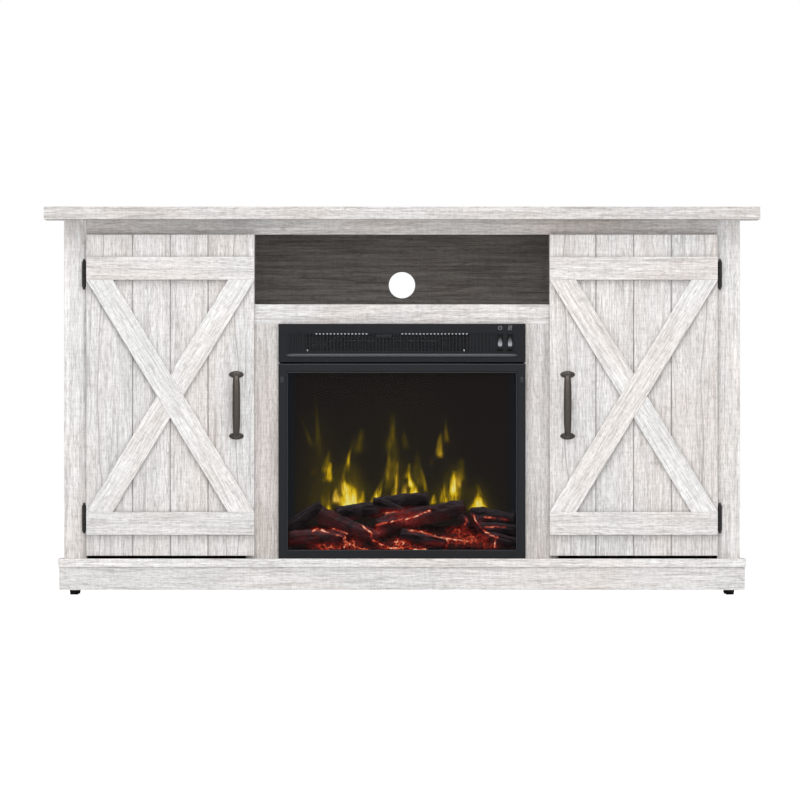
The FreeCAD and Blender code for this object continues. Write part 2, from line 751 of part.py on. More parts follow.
# ================================================================ switches
def make_switches():
    """Two rocker switches: a shared node for their bodies, and a tilting rocker in each."""
    half_height = rocker_height / 2 - bezel_wall - rocker_end_gap
    half_width_in = rocker_width / 2 - bezel_wall - rocker_play
    face = rocker_pivot_depth - bezel_proud
    lift = half_height * math.tan(math.radians(rocker_tilt))
    upper = [(-face - lift, half_height), (-face / 2, half_height), (rocker_heel, half_height / 3)]
    outline = [(-face, 0)] + upper + [(y, -z) for y, z in reversed(upper)]
    bezels = []
    for name, middle in zip(("power", "heat"), rocker_places):
        pivot = Vector(middle, rocker_pivot_y, recess_mid)
        points = [(rocker_pivot_y + y, recess_mid + z) for y, z in outline]
        rocker = along_x(points, middle - half_width_in, middle + half_width_in)
        axle_half = half_width_in + rocker_play + bezel_wall - 0.3
        rocker = rocker.fuse(rod(rocker_axle_radius, 2 * axle_half, pivot - X * axle_half, X))
        rocker.rotate(pivot, X, -rocker_tilt)
        save(name + "_rocker", [one_solid(rocker)])
        bezels.append(switch_body(middle, pivot, axle_half))
    save("rocker_bezels", bezels)


def switch_body(middle, pivot, axle_half):
    """Switch body with an open front, and holes for the rocker's axle."""
    front = insert_front - bezel_proud
    back = front + bezel_depth
    low = recess_mid - rocker_height / 2
    high = recess_mid + rocker_height / 2
    outer = box(middle - rocker_width / 2, middle + rocker_width / 2, front, back, low, high)
    inner = box(middle - rocker_width / 2 + bezel_wall, middle + rocker_width / 2 - bezel_wall, front,
                back - bezel_wall, low + bezel_wall, high - bezel_wall)
    axle = rod(rocker_axle_radius + pin_play, 2 * axle_half + 0.2, pivot - X * (axle_half + 0.1), X)
    return one_solid(outer.cut([inner, axle]))


# ================================================================ inside the firebox
def ember_outline(inset):
    """Sloping bed from front to back, drawn inset from its outside."""
    front = casing_front + ember_side_gap + inset
    back = front + ember_depth - 2 * inset
    floor = base_top + sheet
    return [(front, floor), (back, floor), (back, base_top + ember_back_height - inset),
            (front, base_top + ember_front_height - inset)]


def make_embers_and_logs():
    """Thin moulded ember bed over its lights, and the moulded logs that sit on it."""
    half = casing_half - sheet - ember_side_gap
    bed_block = along_x(ember_outline(0), -half, half)
    hollow = along_x([(y, z - ember_wall if z < base_top + 2 * sheet else z)
                      for y, z in ember_outline(ember_wall)], -half + ember_wall, half - ember_wall)
    save("ember_bed", [one_solid(bed_block.cut(hollow))])
    bed_back = casing_front + ember_side_gap + ember_depth
    logs = []
    for start, end, thick, thin in log_lines:
        first = Vector(start[0] * half, bed_back - start[1], base_top + start[2])
        last = Vector(end[0] * half, bed_back - end[1], base_top + end[2])
        logs.append(Part.makeCone(thick, thin, (last - first).Length, first, last - first))
    outside = bed_block.BoundBox
    room = box(-half, half, outside.YMin, screen_front - ember_side_gap, base_top + 2 * sheet, divider_low)
    pieces = logs[0].fuse(logs[1:]).cut(bed_block).common(room).Solids
    save("log_set", [piece for piece in pieces if piece.Volume > smallest_log])


# Each log: its thick end, its thin end, and their radii. A place is across from the middle as a share
# of the bed's half width, forward of the back of the ember bed, and up from the base.
log_lines = [
    ((-0.955, 18.0, 64.0), (-0.69, 10.0, 103.0), 15.0, 12.0),
    ((-0.68, 14.0, 88.0), (-0.20, 38.0, 40.0), 15.0, 13.0),
    ((-0.48, 10.0, 88.0), (0.26, 10.0, 112.0), 15.0, 14.0),
    ((-0.23, 30.0, 54.0), (0.53, 18.0, 106.0), 17.0, 15.0),
    ((0.93, 22.0, 71.0), (0.57, 26.0, 78.0), 22.0, 18.0),
    ((-0.94, 42.0, 44.0), (-0.49, 45.0, 36.0), 12.0, 10.0),
    ((0.0, 44.0, 44.0), (0.36, 50.0, 33.0), 11.0, 9.0),
    ((-0.20, 22.0, 106.0), (0.0, 27.0, 88.0), 8.0, 7.0),
]


def make_flame_parts():
    """Flame screen, light boards, and the reflector that turns behind the screen."""
    inside = casing_half - sheet
    save("flame_screen", [box(-inside, inside, screen_front, screen_front + screen_thick,
                              base_top + sheet, divider_low)])
    floor = base_top + sheet
    ember_board_y = casing_front + ember_side_gap + ember_depth / 2
    flame_board_y = (screen_front + screen_thick + rotor_y) / 2 - light_board_width / 2
    save("light_boards", [light_board(y, floor) for y in (ember_board_y, flame_board_y)])
    motor_face = -inside + rotor_motor_length
    socket = motor_face - shaft_socket
    tip = inside - sheet
    shaft = rod(rotor_shaft_radius, tip - socket, Vector(socket, rotor_y, rotor_z), X)
    first = motor_face + rotor_blade_width
    pitch = (inside - bush_length - rotor_blade_width - first) / (rotor_blades - 1)
    blades = []
    for step in range(rotor_blades):
        middle = first + step * pitch
        blade = box(middle - rotor_blade_width / 2, middle + rotor_blade_width / 2,
                    rotor_y - rotor_blade_reach, rotor_y + rotor_blade_reach,
                    rotor_z - blade_thick / 2, rotor_z + blade_thick / 2)
        blade.rotate(Vector(middle, rotor_y, rotor_z), X, step * rotor_blade_turn)
        blades.append(blade)
    save("flame_rotor", [one_solid(shaft.fuse(blades))])
    can = rod(rotor_motor_radius, rotor_motor_length, Vector(-inside, rotor_y, rotor_z), X)
    bore = rod(rotor_shaft_radius + motor_play, shaft_socket + 1, Vector(socket - 1, rotor_y, rotor_z), X)
    save("rotor_motor", [one_solid(can.cut(bore))])


def light_board(y, floor):
    """Strip of light-emitting diodes on a narrow circuit board."""
    strip = box(-light_board_half, light_board_half, y, y + light_board_width, floor, floor + board_thick)
    pitch = 2 * light_board_half / lights_per_board
    lights = [box(-light_board_half + (step + 0.5) * pitch - 2, -light_board_half + (step + 0.5) * pitch + 2,
                  y + light_board_width / 2 - 2, y + light_board_width / 2 + 2, floor + board_thick,
                  floor + 2 * board_thick) for step in range(lights_per_board)]
    return one_solid(strip.fuse(lights))


# ================================================================ heater
def make_fan():
    """Cross-flow impeller, its housing with end plates, and the motor on the left end plate."""
    left = fan_centre_x - fan_length / 2
    right = fan_centre_x + fan_length / 2
    centre = Vector(left, fan_y, fan_z)
    discs = [rod(fan_radius, disc_thick, Vector(x, fan_y, fan_z), X)
             for x in (left, fan_centre_x - disc_thick / 2, right - disc_thick)]
    blades = []
    for step in range(fan_blades):
        blade = box(left, right, fan_y - disc_thick / 2, fan_y + disc_thick / 2,
                    fan_z + fan_radius - fan_blade_chord, fan_z + fan_radius - disc_thick / 2)
        blade.rotate(Vector(left, fan_y, fan_z + fan_radius - fan_blade_chord / 2), X, fan_blade_lean)
        blade.rotate(centre, X, step * 360 / fan_blades)
        blades.append(blade)
    plate_left = left - fan_clearance - housing_wall
    plate_right = right + fan_clearance
    stub_start = plate_left - shaft_socket
    stub = rod(fan_shaft_radius, left + disc_thick - stub_start, Vector(stub_start, fan_y, fan_z), X)
    tail = rod(fan_shaft_radius, plate_right + housing_wall + 1 - right + disc_thick,
               Vector(right - disc_thick, fan_y, fan_z), X)
    save("blower_impeller", [one_solid(discs[0].fuse(discs[1:] + blades + [stub, tail]))])

    wall_inner = fan_radius + fan_clearance
    wall_outer = wall_inner + housing_wall
    length = plate_right - plate_left
    start = Vector(plate_left, fan_y, fan_z)
    wall = rod(wall_outer, length, start, X).cut(rod(wall_inner, length, start, X))
    outlet = box(plate_left, plate_left + length, fan_y - 2 * wall_outer, fan_y, fan_z - wall_inner * 0.7,
                 fan_z + wall_inner * 0.7)
    intake = box(plate_left, plate_left + length, fan_y + wall_inner * 0.2, fan_y + 2 * wall_outer,
                 fan_z - wall_inner * 0.4, fan_z + wall_inner * 0.7)
    bore = rod(fan_shaft_radius + motor_play, 2 * length, Vector(plate_left - length / 2, fan_y, fan_z), X)
    floor = divider_low + sheet
    plates = [box(x, x + housing_wall, fan_y - wall_outer, fan_y + wall_outer, floor, fan_z + wall_outer)
              for x in (plate_left, plate_right)]
    housing = wall.cut([outlet, intake]).fuse(plates).cut(bore)
    save("blower_housing", [one_solid(housing)])

    can = rod(fan_motor_radius, fan_motor_length, Vector(plate_left - fan_motor_length, fan_y, fan_z), X)
    socket = rod(fan_shaft_radius + motor_play, shaft_socket + 1, Vector(stub_start - 1, fan_y, fan_z), X)
    save("blower_motor", [one_solid(can.cut(socket))])


def make_heater():
    """Heating wires in a frame between the fan and the grille, and the control board beside the fan."""
    floor = divider_low + sheet
    front = casing_front + heater_setback
    back = front + heater_depth
    high = recess_high
    outer = box(outlet_left, outlet_right, front, back, floor, high)
    inner = box(outlet_left + heater_wall, outlet_right - heater_wall, front, back, floor + heater_wall,
                high - heater_wall)
    step = (high - floor) / (heater_wires + 1)
    wires = [rod(heater_wire_radius, outlet_right - outlet_left - heater_wall,
                 Vector(outlet_left + heater_wall / 2, (front + back) / 2, floor + (row + 1) * step), X)
             for row in range(heater_wires)]
    save("heating_element", [one_solid(outer.cut(inner).fuse(wires))])

    left = control_board_x - control_board_width / 2
    right = control_board_x + control_board_width / 2
    rear = control_board_front + control_board_depth
    top = floor + standoff_height + board_thick
    plate = box(left, right, control_board_front, rear, top - board_thick, top)
    standoffs = [rod(standoff_radius, standoff_height, Vector(x, y, floor), Z)
                 for x in (left + 2 * standoff_radius, right - 2 * standoff_radius)
                 for y in (control_board_front + 2 * standoff_radius, rear - 2 * standoff_radius)]
    relay = box(left + 8, left + 27, rear - 30, rear - 15, top, top + 15)
    transformer = box(right - 34, right - 8, rear - 34, rear - 12, top, top + 22)
    capacitor = rod(5.0, 14.0, Vector(control_board_x, control_board_front + 16, top), Z)
    save("control_board", [one_solid(plate.fuse(standoffs + [relay, transformer, capacitor]))])


def make_screws(stile_screws):
    """Every screw that belongs to the fixed cabinet."""
    save("cabinet_screws", stile_screws + [wood_screw(*place) for place in rear_screw_places()])


def main():
    os.makedirs("parts", exist_ok=True)
    make_top()
    make_front_frame()
    make_panels()
    make_shelves()
    make_backs()
    make_plinth()
    stile_screws = make_doors()
    make_casing()
    make_rear_cover()
    make_gland()
    make_header()
    make_grille()
    make_glass_front()
    make_brackets()
    make_switches()
    make_embers_and_logs()
    make_flame_parts()
    make_fan()
    make_heater()
    make_screws(stile_screws)


main()
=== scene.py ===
"""Looks of a farmhouse television stand with barn doors and an electric fireplace insert.

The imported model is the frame. Boards, sheet metal and hardware keep their own meshes and get their
finishes here. Handles, logs, embers, the flame picture and the switch details are made here.
Lengths are in metres, the front faces -Y and +Z is up.
"""

import logging
import math
from dataclasses import dataclass
from enum import Enum

import bpy
import numpy as np
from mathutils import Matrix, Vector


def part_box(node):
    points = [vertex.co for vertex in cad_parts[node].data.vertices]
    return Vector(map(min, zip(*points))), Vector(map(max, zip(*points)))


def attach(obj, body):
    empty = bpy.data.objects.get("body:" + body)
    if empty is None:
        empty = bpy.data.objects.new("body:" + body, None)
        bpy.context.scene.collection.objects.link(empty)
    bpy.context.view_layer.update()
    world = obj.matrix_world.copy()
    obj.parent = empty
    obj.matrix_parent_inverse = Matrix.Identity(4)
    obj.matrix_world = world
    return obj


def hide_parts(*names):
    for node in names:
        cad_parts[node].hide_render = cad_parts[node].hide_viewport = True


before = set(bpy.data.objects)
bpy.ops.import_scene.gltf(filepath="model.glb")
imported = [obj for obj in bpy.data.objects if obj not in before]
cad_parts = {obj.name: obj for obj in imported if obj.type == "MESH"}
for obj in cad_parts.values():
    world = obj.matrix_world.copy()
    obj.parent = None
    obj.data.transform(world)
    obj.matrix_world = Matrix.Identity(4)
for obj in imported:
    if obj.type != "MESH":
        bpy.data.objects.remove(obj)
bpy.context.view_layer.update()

logging.basicConfig(level=logging.INFO, format="%(message)s")
LOG = logging.getLogger("fireplace")
MM = 0.001
Socket = bpy.types.NodeSocket
Shell = tuple[np.ndarray, list]         # vertices in metres, and faces as lists of vertex numbers
Turn = tuple[float, float, float]


class Body(str, Enum):
    """The rigid bodies that pieces ride on."""

    CABINET = "cabinet"
    LEFT_DOOR = "left_door"
    RIGHT_DOOR = "right_door"
    POWER_ROCKER = "power_rocker"
    HEAT_ROCKER = "heat_rocker"


class Grain(Enum):
    """The way the printed grain of a board runs, as the turn that lays it along the pattern's X."""

    LEVEL = (0.0, 0.0, 0.0)
    UPRIGHT = (0.0, math.pi / 2, 0.0)
    DEPTH = (0.0, 0.0, -math.pi / 2)


# ---------------------------------------------------------------- colour and nodes
def linear(colour: str) -> tuple[float, float, float, float]:
    """Turns an sRGB hex colour into linear red, green, blue and alpha.

    Args:
        colour: six hex digits after a #.

    Returns:
        Linear components, with alpha 1.
    """
    parts = [int(colour[at:at + 2], 16) / 255 for at in (1, 3, 5)]
    red, green, blue = (c / 12.92 if c <= 0.04045 else ((c + 0.055) / 1.055) ** 2.4 for c in parts)
    return red, green, blue, 1.0


def feed(tree: bpy.types.NodeTree, node: bpy.types.Node, inputs: dict) -> None:
    """Sets or links a node's inputs.

    Args:
        tree: the node tree.
        node: the node.
        inputs: input name or number to a value, a hex colour, or the socket that feeds it.
    """
    for key, value in inputs.items():
        if isinstance(value, Socket):
            tree.links.new(value, node.inputs[key])
        else:
            node.inputs[key].default_value = linear(value) if isinstance(value, str) else value


def add(tree: bpy.types.NodeTree, kind: str, inputs: dict | None = None,
        **settings: object) -> bpy.types.Node:
    """Adds one node.

    Args:
        tree: the node tree.
        kind: the node's type, without the leading "ShaderNode".
        inputs: what feed() puts into it.
        **settings: the node's own properties.

    Returns:
        The new node.
    """
    node = tree.nodes.new("ShaderNode" + kind)
    for name, value in settings.items():
        setattr(node, name, value)
    feed(tree, node, inputs or {})
    return node


class Paint:
    """A new material, with short calls for the nodes that the finishes are made of."""

    def __init__(self, name: str) -> None:
        """Starts with a Principled shader joined to the output, and object coordinates.

        Args:
            name: the material's name.
        """
        self.material = bpy.data.materials.new(name)
        self.material.use_nodes = True
        self.tree = self.material.node_tree
        self.tree.nodes.clear()
        self.shader = add(self.tree, "BsdfPrincipled")
        add(self.tree, "OutputMaterial", {"Surface": self.shader.outputs[0]})
        self.place = add(self.tree, "TexCoord").outputs["Object"]

    def math(self, operation: str, *values: Socket | float) -> Socket:
        """One sum or product of its values."""
        return add(self.tree, "Math", dict(enumerate(values)), operation=operation).outputs[0]

    def axis(self, letter: str) -> Socket:
        """One object coordinate: X, Y or Z."""
        return add(self.tree, "SeparateXYZ", {"Vector": self.place}).outputs[letter]

    def near(self, value: Socket, middle: float | Socket) -> Socket:
        """How far a value is from a middle, either way."""
        return self.math("ABSOLUTE", self.math("SUBTRACT", value, middle))

    def stored(self, name: str) -> Socket:
        """A number kept per vertex by store()."""
        return add(self.tree, "Attribute", attribute_name=name).outputs["Fac"]

    def noise(self, vector: Socket, scale: float, detail: float, **inputs: float) -> Socket:
        """Cloudy noise from 0 to 1."""
        given = {"Vector": vector, "Scale": scale, "Detail": detail, **inputs}
        return add(self.tree, "TexNoise", given).outputs[0]

    def mapped(self, vector: Socket, **inputs: object) -> Socket:
        """The vector moved, turned and scaled."""
        return add(self.tree, "Mapping", {"Vector": vector, **inputs}).outputs[0]

    def remap(self, value: Socket, start: float | Socket, end: float | Socket, low: float = 0.0,
              high: float = 1.0) -> Socket:
        """Carries a value from the span between two numbers to another.

        Args:
            value: the value.
            start: where it gives low.
            end: where it gives high.
            low: what start becomes.
            high: what end becomes.

        Returns:
            The new value, kept between low and high.
        """
        return add(self.tree, "MapRange", {"Value": value, "From Min": start, "From Max": end, "To Min": low,
                                           "To Max": high}).outputs[0]

    def ramp(self, value: Socket, *stops: tuple[float, str]) -> Socket:
        """A colour ramp through places and hex colours."""
        node = add(self.tree, "ValToRGB", {"Fac": value})
        marks = node.color_ramp.elements
        while len(marks) < len(stops):
            marks.new(1.0)
        for mark, (place, colour) in zip(marks, stops):
            mark.position, mark.color = place, linear(colour)
        return node.outputs[0]

    def mix(self, share: Socket | float, under: Socket, over: Socket | str, blend: str = "MIX") -> Socket:
        """One colour laid over another.

        Args:
            share: how much of the upper one shows.
            under: the lower colour.
            over: the upper colour.
            blend: how they combine.

        Returns:
            The colour.
        """
        return add(self.tree, "MixRGB", {"Fac": share, "Color1": under, "Color2": over},
                   blend_type=blend).outputs[0]

    def bump(self, height: Socket, strength: float, depth: float) -> Socket:
        """A normal bent by a height, whose full strength is a depth in metres."""
        return add(self.tree, "Bump", {"Height": height, "Strength": strength, "Distance": depth}).outputs[0]

    def done(self, inputs: dict) -> bpy.types.Material:
        """Feeds the shader and gives the material."""
        feed(self.tree, self.shader, inputs)
        return self.material


# ---------------------------------------------------------------- meshes
def grid_quads(rows: int, columns: int, first: int = 0, closed: bool = False) -> np.ndarray:
    """Quads of a grid of vertices numbered row by row.

    Args:
        rows: rows of vertices.
        columns: vertices in a row.
        first: number of the first vertex.
        closed: whether each row is a loop.

    Returns:
        One row of four vertex numbers per quad.
    """
    across = columns if closed else columns - 1
    row, column = np.meshgrid(np.arange(rows - 1), np.arange(across), indexing="ij")
    nearby = (column + 1) % columns
    quads = np.stack([row * columns + column, row * columns + nearby,
                      (row + 1) * columns + nearby, (row + 1) * columns + column], axis=-1)
    return quads.reshape(-1, 4) + first


def make_piece(name: str, shells: list[Shell], material: bpy.types.Material,
               body: Body = Body.CABINET, smooth: bool = True) -> bpy.types.Object:
    """Puts closed shells into the scene as one mesh that rides on a body.

    Args:
        name: the piece's name.
        shells: its shells.
        material: its finish.
        body: the body it rides on.
        smooth: whether its faces shade smoothly.

    Returns:
        The new object.
    """
    vertices = np.concatenate([own for own, _ in shells])
    firsts = np.cumsum([0] + [len(own) for own, _ in shells])
    faces = [[number + int(first) for number in face]
             for first, (_, own) in zip(firsts, shells) for face in own]
    mesh = bpy.data.meshes.new(name)
    mesh.from_pydata(vertices.tolist(), [], faces)
    mesh.polygons.foreach_set("use_smooth", [smooth] * len(mesh.polygons))
    mesh.materials.append(material)
    mesh.update()
    piece = bpy.data.objects.new(name, mesh)
    bpy.context.scene.collection.objects.link(piece)
    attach(piece, body.value)
    LOG.info("%s: %d faces on %s", name, len(faces), body.value)
    return piece


def tube(centres: np.ndarray, across: np.ndarray, up: np.ndarray) -> Shell:
    """A profile carried along a path, closed at both ends.

    Each vertex is the path's point plus cos(v) times one half-axis and sin(v) times the other,
    so the profile may be any ring that the half-axes give.

    Args:
        centres: the path's points, n by 3.
        across: offsets of the ring from each centre along the first axis, n by m by 3.
        up: the same along the second axis.

    Returns:
        Vertices and faces, with a fan to a pole at each end.
    """
    rings = centres[:, None, :] + across + up
    count, sides = rings.shape[:2]
    vertices = np.concatenate([rings.reshape(-1, 3), centres[:1], centres[-1:]])
    faces = grid_quads(count, sides, closed=True).tolist()
    low_pole, high_pole = count * sides, count * sides + 1
    last = (count - 1) * sides
    ring = range(sides)
    faces += [[low_pole, (k + 1) % sides, k] for k in ring]
    faces += [[high_pole, last + k, last + (k + 1) % sides] for k in ring]
    return vertices, faces


def slab(front: np.ndarray, back: np.ndarray) -> Shell:
    """A closed plate between two grids of points of the same size.

    Args:
        front: the outer grid, rows by columns by 3, whose quads face outward as numbered.
        back: the inner grid.

    Returns:
        Vertices and faces: both grids and the rim that joins them.
    """
    rows, columns = front.shape[:2]
    count = rows * columns
    vertices = np.concatenate([front.reshape(-1, 3), back.reshape(-1, 3)])
    faces = grid_quads(rows, columns).tolist()
    faces += [quad[::-1] for quad in grid_quads(rows, columns, first=count).tolist()]
    rim = ([r * columns for r in range(rows)] + [(rows - 1) * columns + c for c in range(1, columns)]
           + [r * columns + columns - 1 for r in range(rows - 2, -1, -1)] + list(range(columns - 2, 0, -1)))
    faces += [[a, b, b + count, a + count] for a, b in zip(rim, rim[1:] + rim[:1])]
    return vertices, faces


def lattice_noise(points: np.ndarray, seed: int) -> np.ndarray:
    """Smooth noise from -1 to 1: random values at whole-number places, blended between them.

    Args:
        points: places, any shape by 3, one unit per lump.
        seed: which noise.

    Returns:
        One value per place.
    """
    base = np.floor(points).astype(np.int64)
    part = points - base
    blend = part * part * (3 - 2 * part)
    total = np.zeros(points.shape[:-1])
    for corner in range(8):
        step = np.array([corner & 1, corner >> 1 & 1, corner >> 2 & 1])
        cell = base + step
        mixed = (cell[..., 0] * 73856093 ^ cell[..., 1] * 19349663
                 ^ cell[..., 2] * 83492791 ^ seed * 2654435761)
        mixed = (mixed ^ mixed >> 13) * 1274126177 & 0x7FFFFFFF
        weight = np.prod(np.where(step, blend, 1 - blend), axis=-1)
        total += weight * (mixed % 65536 / 32768 - 1)
    return total


def layered_noise(points: np.ndarray, seed: int, layers: int = 4) -> np.ndarray:
    """Noise at several sizes added up, each half the size and strength of the one before.

    Args:
        points: places, any shape by 3.
        seed: which noise.
        layers: how many sizes.

    Returns:
        One value per place.
    """
    return sum(lattice_noise(points * 2 ** k, seed + k) / 2 ** k for k in range(layers)) / 2


def store(piece: bpy.types.Object, name: str, values: np.ndarray) -> None:
    """Keeps one number per vertex for a material to read.

    Args:
        piece: the object.
        name: the attribute's name.
        values: the numbers.
    """
    attribute = piece.data.attributes.new(name, "FLOAT", "POINT")
    attribute.data.foreach_set("value", np.asarray(values, np.float32).ravel())


# ---------------------------------------------------------------- finishes
# How deep into a door the painted shade in its grooves and beside its trim is coloured.
FACE_DEPTH = 4.0 * MM
# Painted shade beside a glued board: each band's width and its strength.
PAINTED_SHADE_BANDS = ((6.5 * MM, 0.17), (1.3 * MM, 0.34))
# How far from its middle a groove's painted shade, and a grain line's dark, starts to fade and ends.
GROOVE_FADE = (0.3 * MM, 1.7 * MM)
LINE_FADE = (0.4 * MM, 1.6 * MM)
# How far a long grain line wanders either way.
LINE_DRIFT = 9.0 * MM


@dataclass(frozen=True)
class TrimLine:
    """A board laid on a door, as the line X times normal[0] plus Z times normal[1] is offset.

    It counts only where Z lies within reach of level.
    """

    normal: tuple[float, float]
    offset: float
    half: float
    level: float
    reach: float


@dataclass(frozen=True)
class Laminate:
    """Melamine laminate printed as sawn oak: long streaks, fine pores, and faint saw marks across them."""

    name: str
    pale: str
    middle: str
    dark: str
    line: str
    roughness: float = 0.55
    streak_mm: float = 5.0
    fine_mm: float = 1.9            # real pores are about 0.5 mm; drawn coarser so that they show
    saw_mm: float = 28.8            # length of a saw mark across the grain
    line_mm: float = 17.0
    patch_mm: float = 130.0
    length_ratio: float = 26.0
    fleck_ratio: float = 6.0        # short pores and ticks are about this many times as long as wide

    def material(self, turn: Turn, shift: float, lines: tuple[float, ...] = (),
                 grooves: tuple[float, ...] = (), trims: tuple[TrimLine, ...] = (),
                 face: float = 0.0) -> bpy.types.Material:
        """The finish for one board.

        Args:
            turn: rotation that lays the grain along the pattern's X.
            shift: how far along the printed sheet this board was cut, in metres.
            lines: places across the board, in metres, of long printed grain lines.
            grooves: places across the board of cut grooves, which get painted shade inside.
            trims: boards laid on this one, beside whose edges shade is painted.
            face: Y of the face that has the grooves and the trim.

        Returns:
            The material.
        """
        paint = Paint(self.name)
        board = paint.mapped(paint.place, Rotation=turn)
        board = paint.mapped(board, Location=(shift * 3.1, shift, shift * 0.7))

        def streaks(width_mm: float, ratio: float, detail: float, wobble: float) -> Socket:
            """Noise drawn out along the grain.

            Args:
                width_mm: a streak's width.
                ratio: its length over its width.
                detail: how many finer layers it has.
                wobble: how much it is bent.

            Returns:
                The noise.
            """
            scale = 1000 / width_mm
            drawn = paint.mapped(board, Scale=(scale / ratio, scale, scale))
            return paint.noise(drawn, 1.0, detail, Roughness=0.6, Distortion=wobble)

        broad = streaks(self.streak_mm, self.length_ratio, 3.0, 0.3)
        fine = streaks(self.fine_mm, self.length_ratio, 2.0, 0.0)
        fleck = streaks(self.fine_mm * 1.1, self.fleck_ratio, 3.0, 0.4)
        saw = streaks(self.saw_mm, 1 / 9, 2.0, 0.2)
        ring = streaks(self.line_mm, self.length_ratio / 1.6, 1.0, 0.8)
        patch = streaks(self.patch_mm, 3.0, 2.0, 0.5)
        tone = paint.ramp(broad, (0.30, self.dark), (0.50, self.middle), (0.66, self.pale))
        for noise, low, colour, high, share in ((fine, 0.30, "#A9A4A0", 0.58, 0.38),
                                                (fleck, 0.32, "#9B9692", 0.55, 0.42),
                                                (saw, 0.36, "#D5D1CE", 0.56, 0.24)):
            tone = paint.mix(share, tone, paint.ramp(noise, (low, colour), (high, "#FFFFFF")), "MULTIPLY")
        # Growth rings show as thin lines where the drawn-out noise crosses its middle value.
        tone = paint.mix(paint.remap(paint.near(ring, 0.5), 0.0, 0.014, 0.55, 0.0), tone, self.line)
        tint = paint.ramp(patch, (0.36, "#F6F8F9"), (0.50, "#FDFDFD"), (0.64, "#FAF6F4"))
        tone = paint.mix(1.0, tone, tint, "MULTIPLY")
        for across in lines:
            tone = self.long_line(paint, tone, across)
        # Painted shade: darker inside the grooves and beside the boards laid on.
        if grooves:
            front = paint.math("COMPARE", paint.axis("Y"), face, FACE_DEPTH)
            tone = self.painted_groove_shade(paint, tone, grooves, front)
            for trim in trims:
                tone = self.painted_contact_shade(paint, tone, trim, front)
        bump = paint.bump(paint.math("ADD", fine, broad), 0.18, 0.0004)
        rough = paint.remap(broad, 0.0, 1.0, self.roughness + 0.08, self.roughness - 0.08)
        return paint.done({"Base Color": tone, "Roughness": rough, "Normal": bump, "Specular IOR Level": 0.3})

    def painted_contact_shade(self, paint: Paint, tone: Socket, trim: TrimLine, front: Socket) -> Socket:
        """Paints shade beside a board that is glued on: a thin dark line, and a soft band next to it.

        Args:
            paint: the material.
            tone: the colour so far.
            trim: the board's middle line and half-width.
            front: 1 at the door's face and 0 on its back.

        Returns:
            The colour with the shade.
        """
        across = add(paint.tree, "VectorMath", {0: paint.place, 1: (trim.normal[0], 0.0, trim.normal[1])},
                     operation="DOT_PRODUCT").outputs["Value"]
        near = paint.near(across, trim.offset)
        beside = paint.math("COMPARE", paint.axis("Z"), trim.level, trim.reach)
        beside = paint.math("MULTIPLY", beside, front)
        for width, strength in PAINTED_SHADE_BANDS:
            mask = paint.remap(near, trim.half, trim.half + width, strength, 0.0)
            tone = paint.mix(paint.math("MULTIPLY", mask, beside), tone, "#4E4A48")
        return tone

    def painted_groove_shade(self, paint: Paint, tone: Socket, grooves: tuple[float, ...], front: Socket) -> Socket:
        """Darkens the inside of each cut groove with painted shade.

        Args:
            paint: the material.
            tone: the colour so far.
            grooves: each groove's X in metres.
            front: 1 at the door's face and 0 on its back.

        Returns:
            The colour with the grooves.
        """
        for groove in grooves:
            mask = paint.remap(paint.near(paint.axis("X"), groove), *GROOVE_FADE, 0.5, 0.0)
            tone = paint.mix(paint.math("MULTIPLY", mask, front), tone, "#6E6A67")
        return tone

    def long_line(self, paint: Paint, tone: Socket, across: float) -> Socket:
        """Darkens an upright line that wanders a few millimetres either way of a place across the door.

        Args:
            paint: the material.
            tone: the colour so far.
            across: the line's X in metres.

        Returns:
            The colour with the line.
        """
        level = add(paint.tree, "CombineXYZ", {"X": across * 9, "Y": 0.0, "Z": paint.axis("Z")}).outputs[0]
        bend = paint.noise(level, 4.2, 1.0)
        drift = paint.remap(bend, 0.3, 0.7, across - LINE_DRIFT, across + LINE_DRIFT)
        mask = paint.remap(paint.near(paint.axis("X"), drift), *LINE_FADE, 0.8, 0.0)
        return paint.mix(mask, tone, self.line)


@dataclass(frozen=True)
class Coated:
    """A plain moulded, coated or metal surface with a fine texture and slight wear of its gloss."""

    name: str
    colour: str
    shade: str
    roughness: float
    metallic: float = 0.0
    grain_mm: float = 1.2           # powder coat's orange peel and moulded spark texture are about this wide
    bump: float = 0.15
    specular: float = 0.35
    brushed: float = 1.0            # how far the texture is drawn out along X

    def material(self) -> bpy.types.Material:
        """The finish: two close tones by noise, with roughness and bump from the same texture."""
        paint = Paint(self.name)
        scale = 1000 / self.grain_mm
        texture = paint.noise(paint.mapped(paint.place, Scale=(scale / self.brushed, scale, scale)), 1.0, 3.0)
        cloud = paint.noise(paint.place, 14.0, 4.0)
        mixed = paint.math("MULTIPLY_ADD", texture, cloud, 0.25)
        tone = paint.ramp(mixed, (0.25, self.shade), (0.75, self.colour))
        rough = paint.remap(cloud, 0.0, 1.0, max(self.roughness - 0.1, 0.03), self.roughness + 0.1)
        return paint.done({"Base Color": tone, "Roughness": rough, "Metallic": self.metallic,
                           "Normal": paint.bump(texture, self.bump, 0.0002),
                           "Specular IOR Level": self.specular})


# Oak-print melamine under a thin white wash: bright, low gloss, grey pores.
WHITEWASH = Laminate("whitewashed_oak_laminate", "#F4F3F2", "#EBE9E8", "#D9D6D4", "#A39E9A")
# Copies of the print painted lighter as lit and darker as shade: the braces and ledges are painted lit, the
# top and the boards by the insert painted in shade.
WHITEWASH_PAINTED_LIT = Laminate("whitewashed_oak_laminate_painted_lit", "#FBFAF9", "#F4F3F2", "#E3E1DF", "#ADA8A4")
WHITEWASH_PAINTED_SHADE = Laminate("whitewashed_oak_laminate_painted_shade", "#EBE9E8", "#DFDCDA", "#CBC7C4", "#98938F")
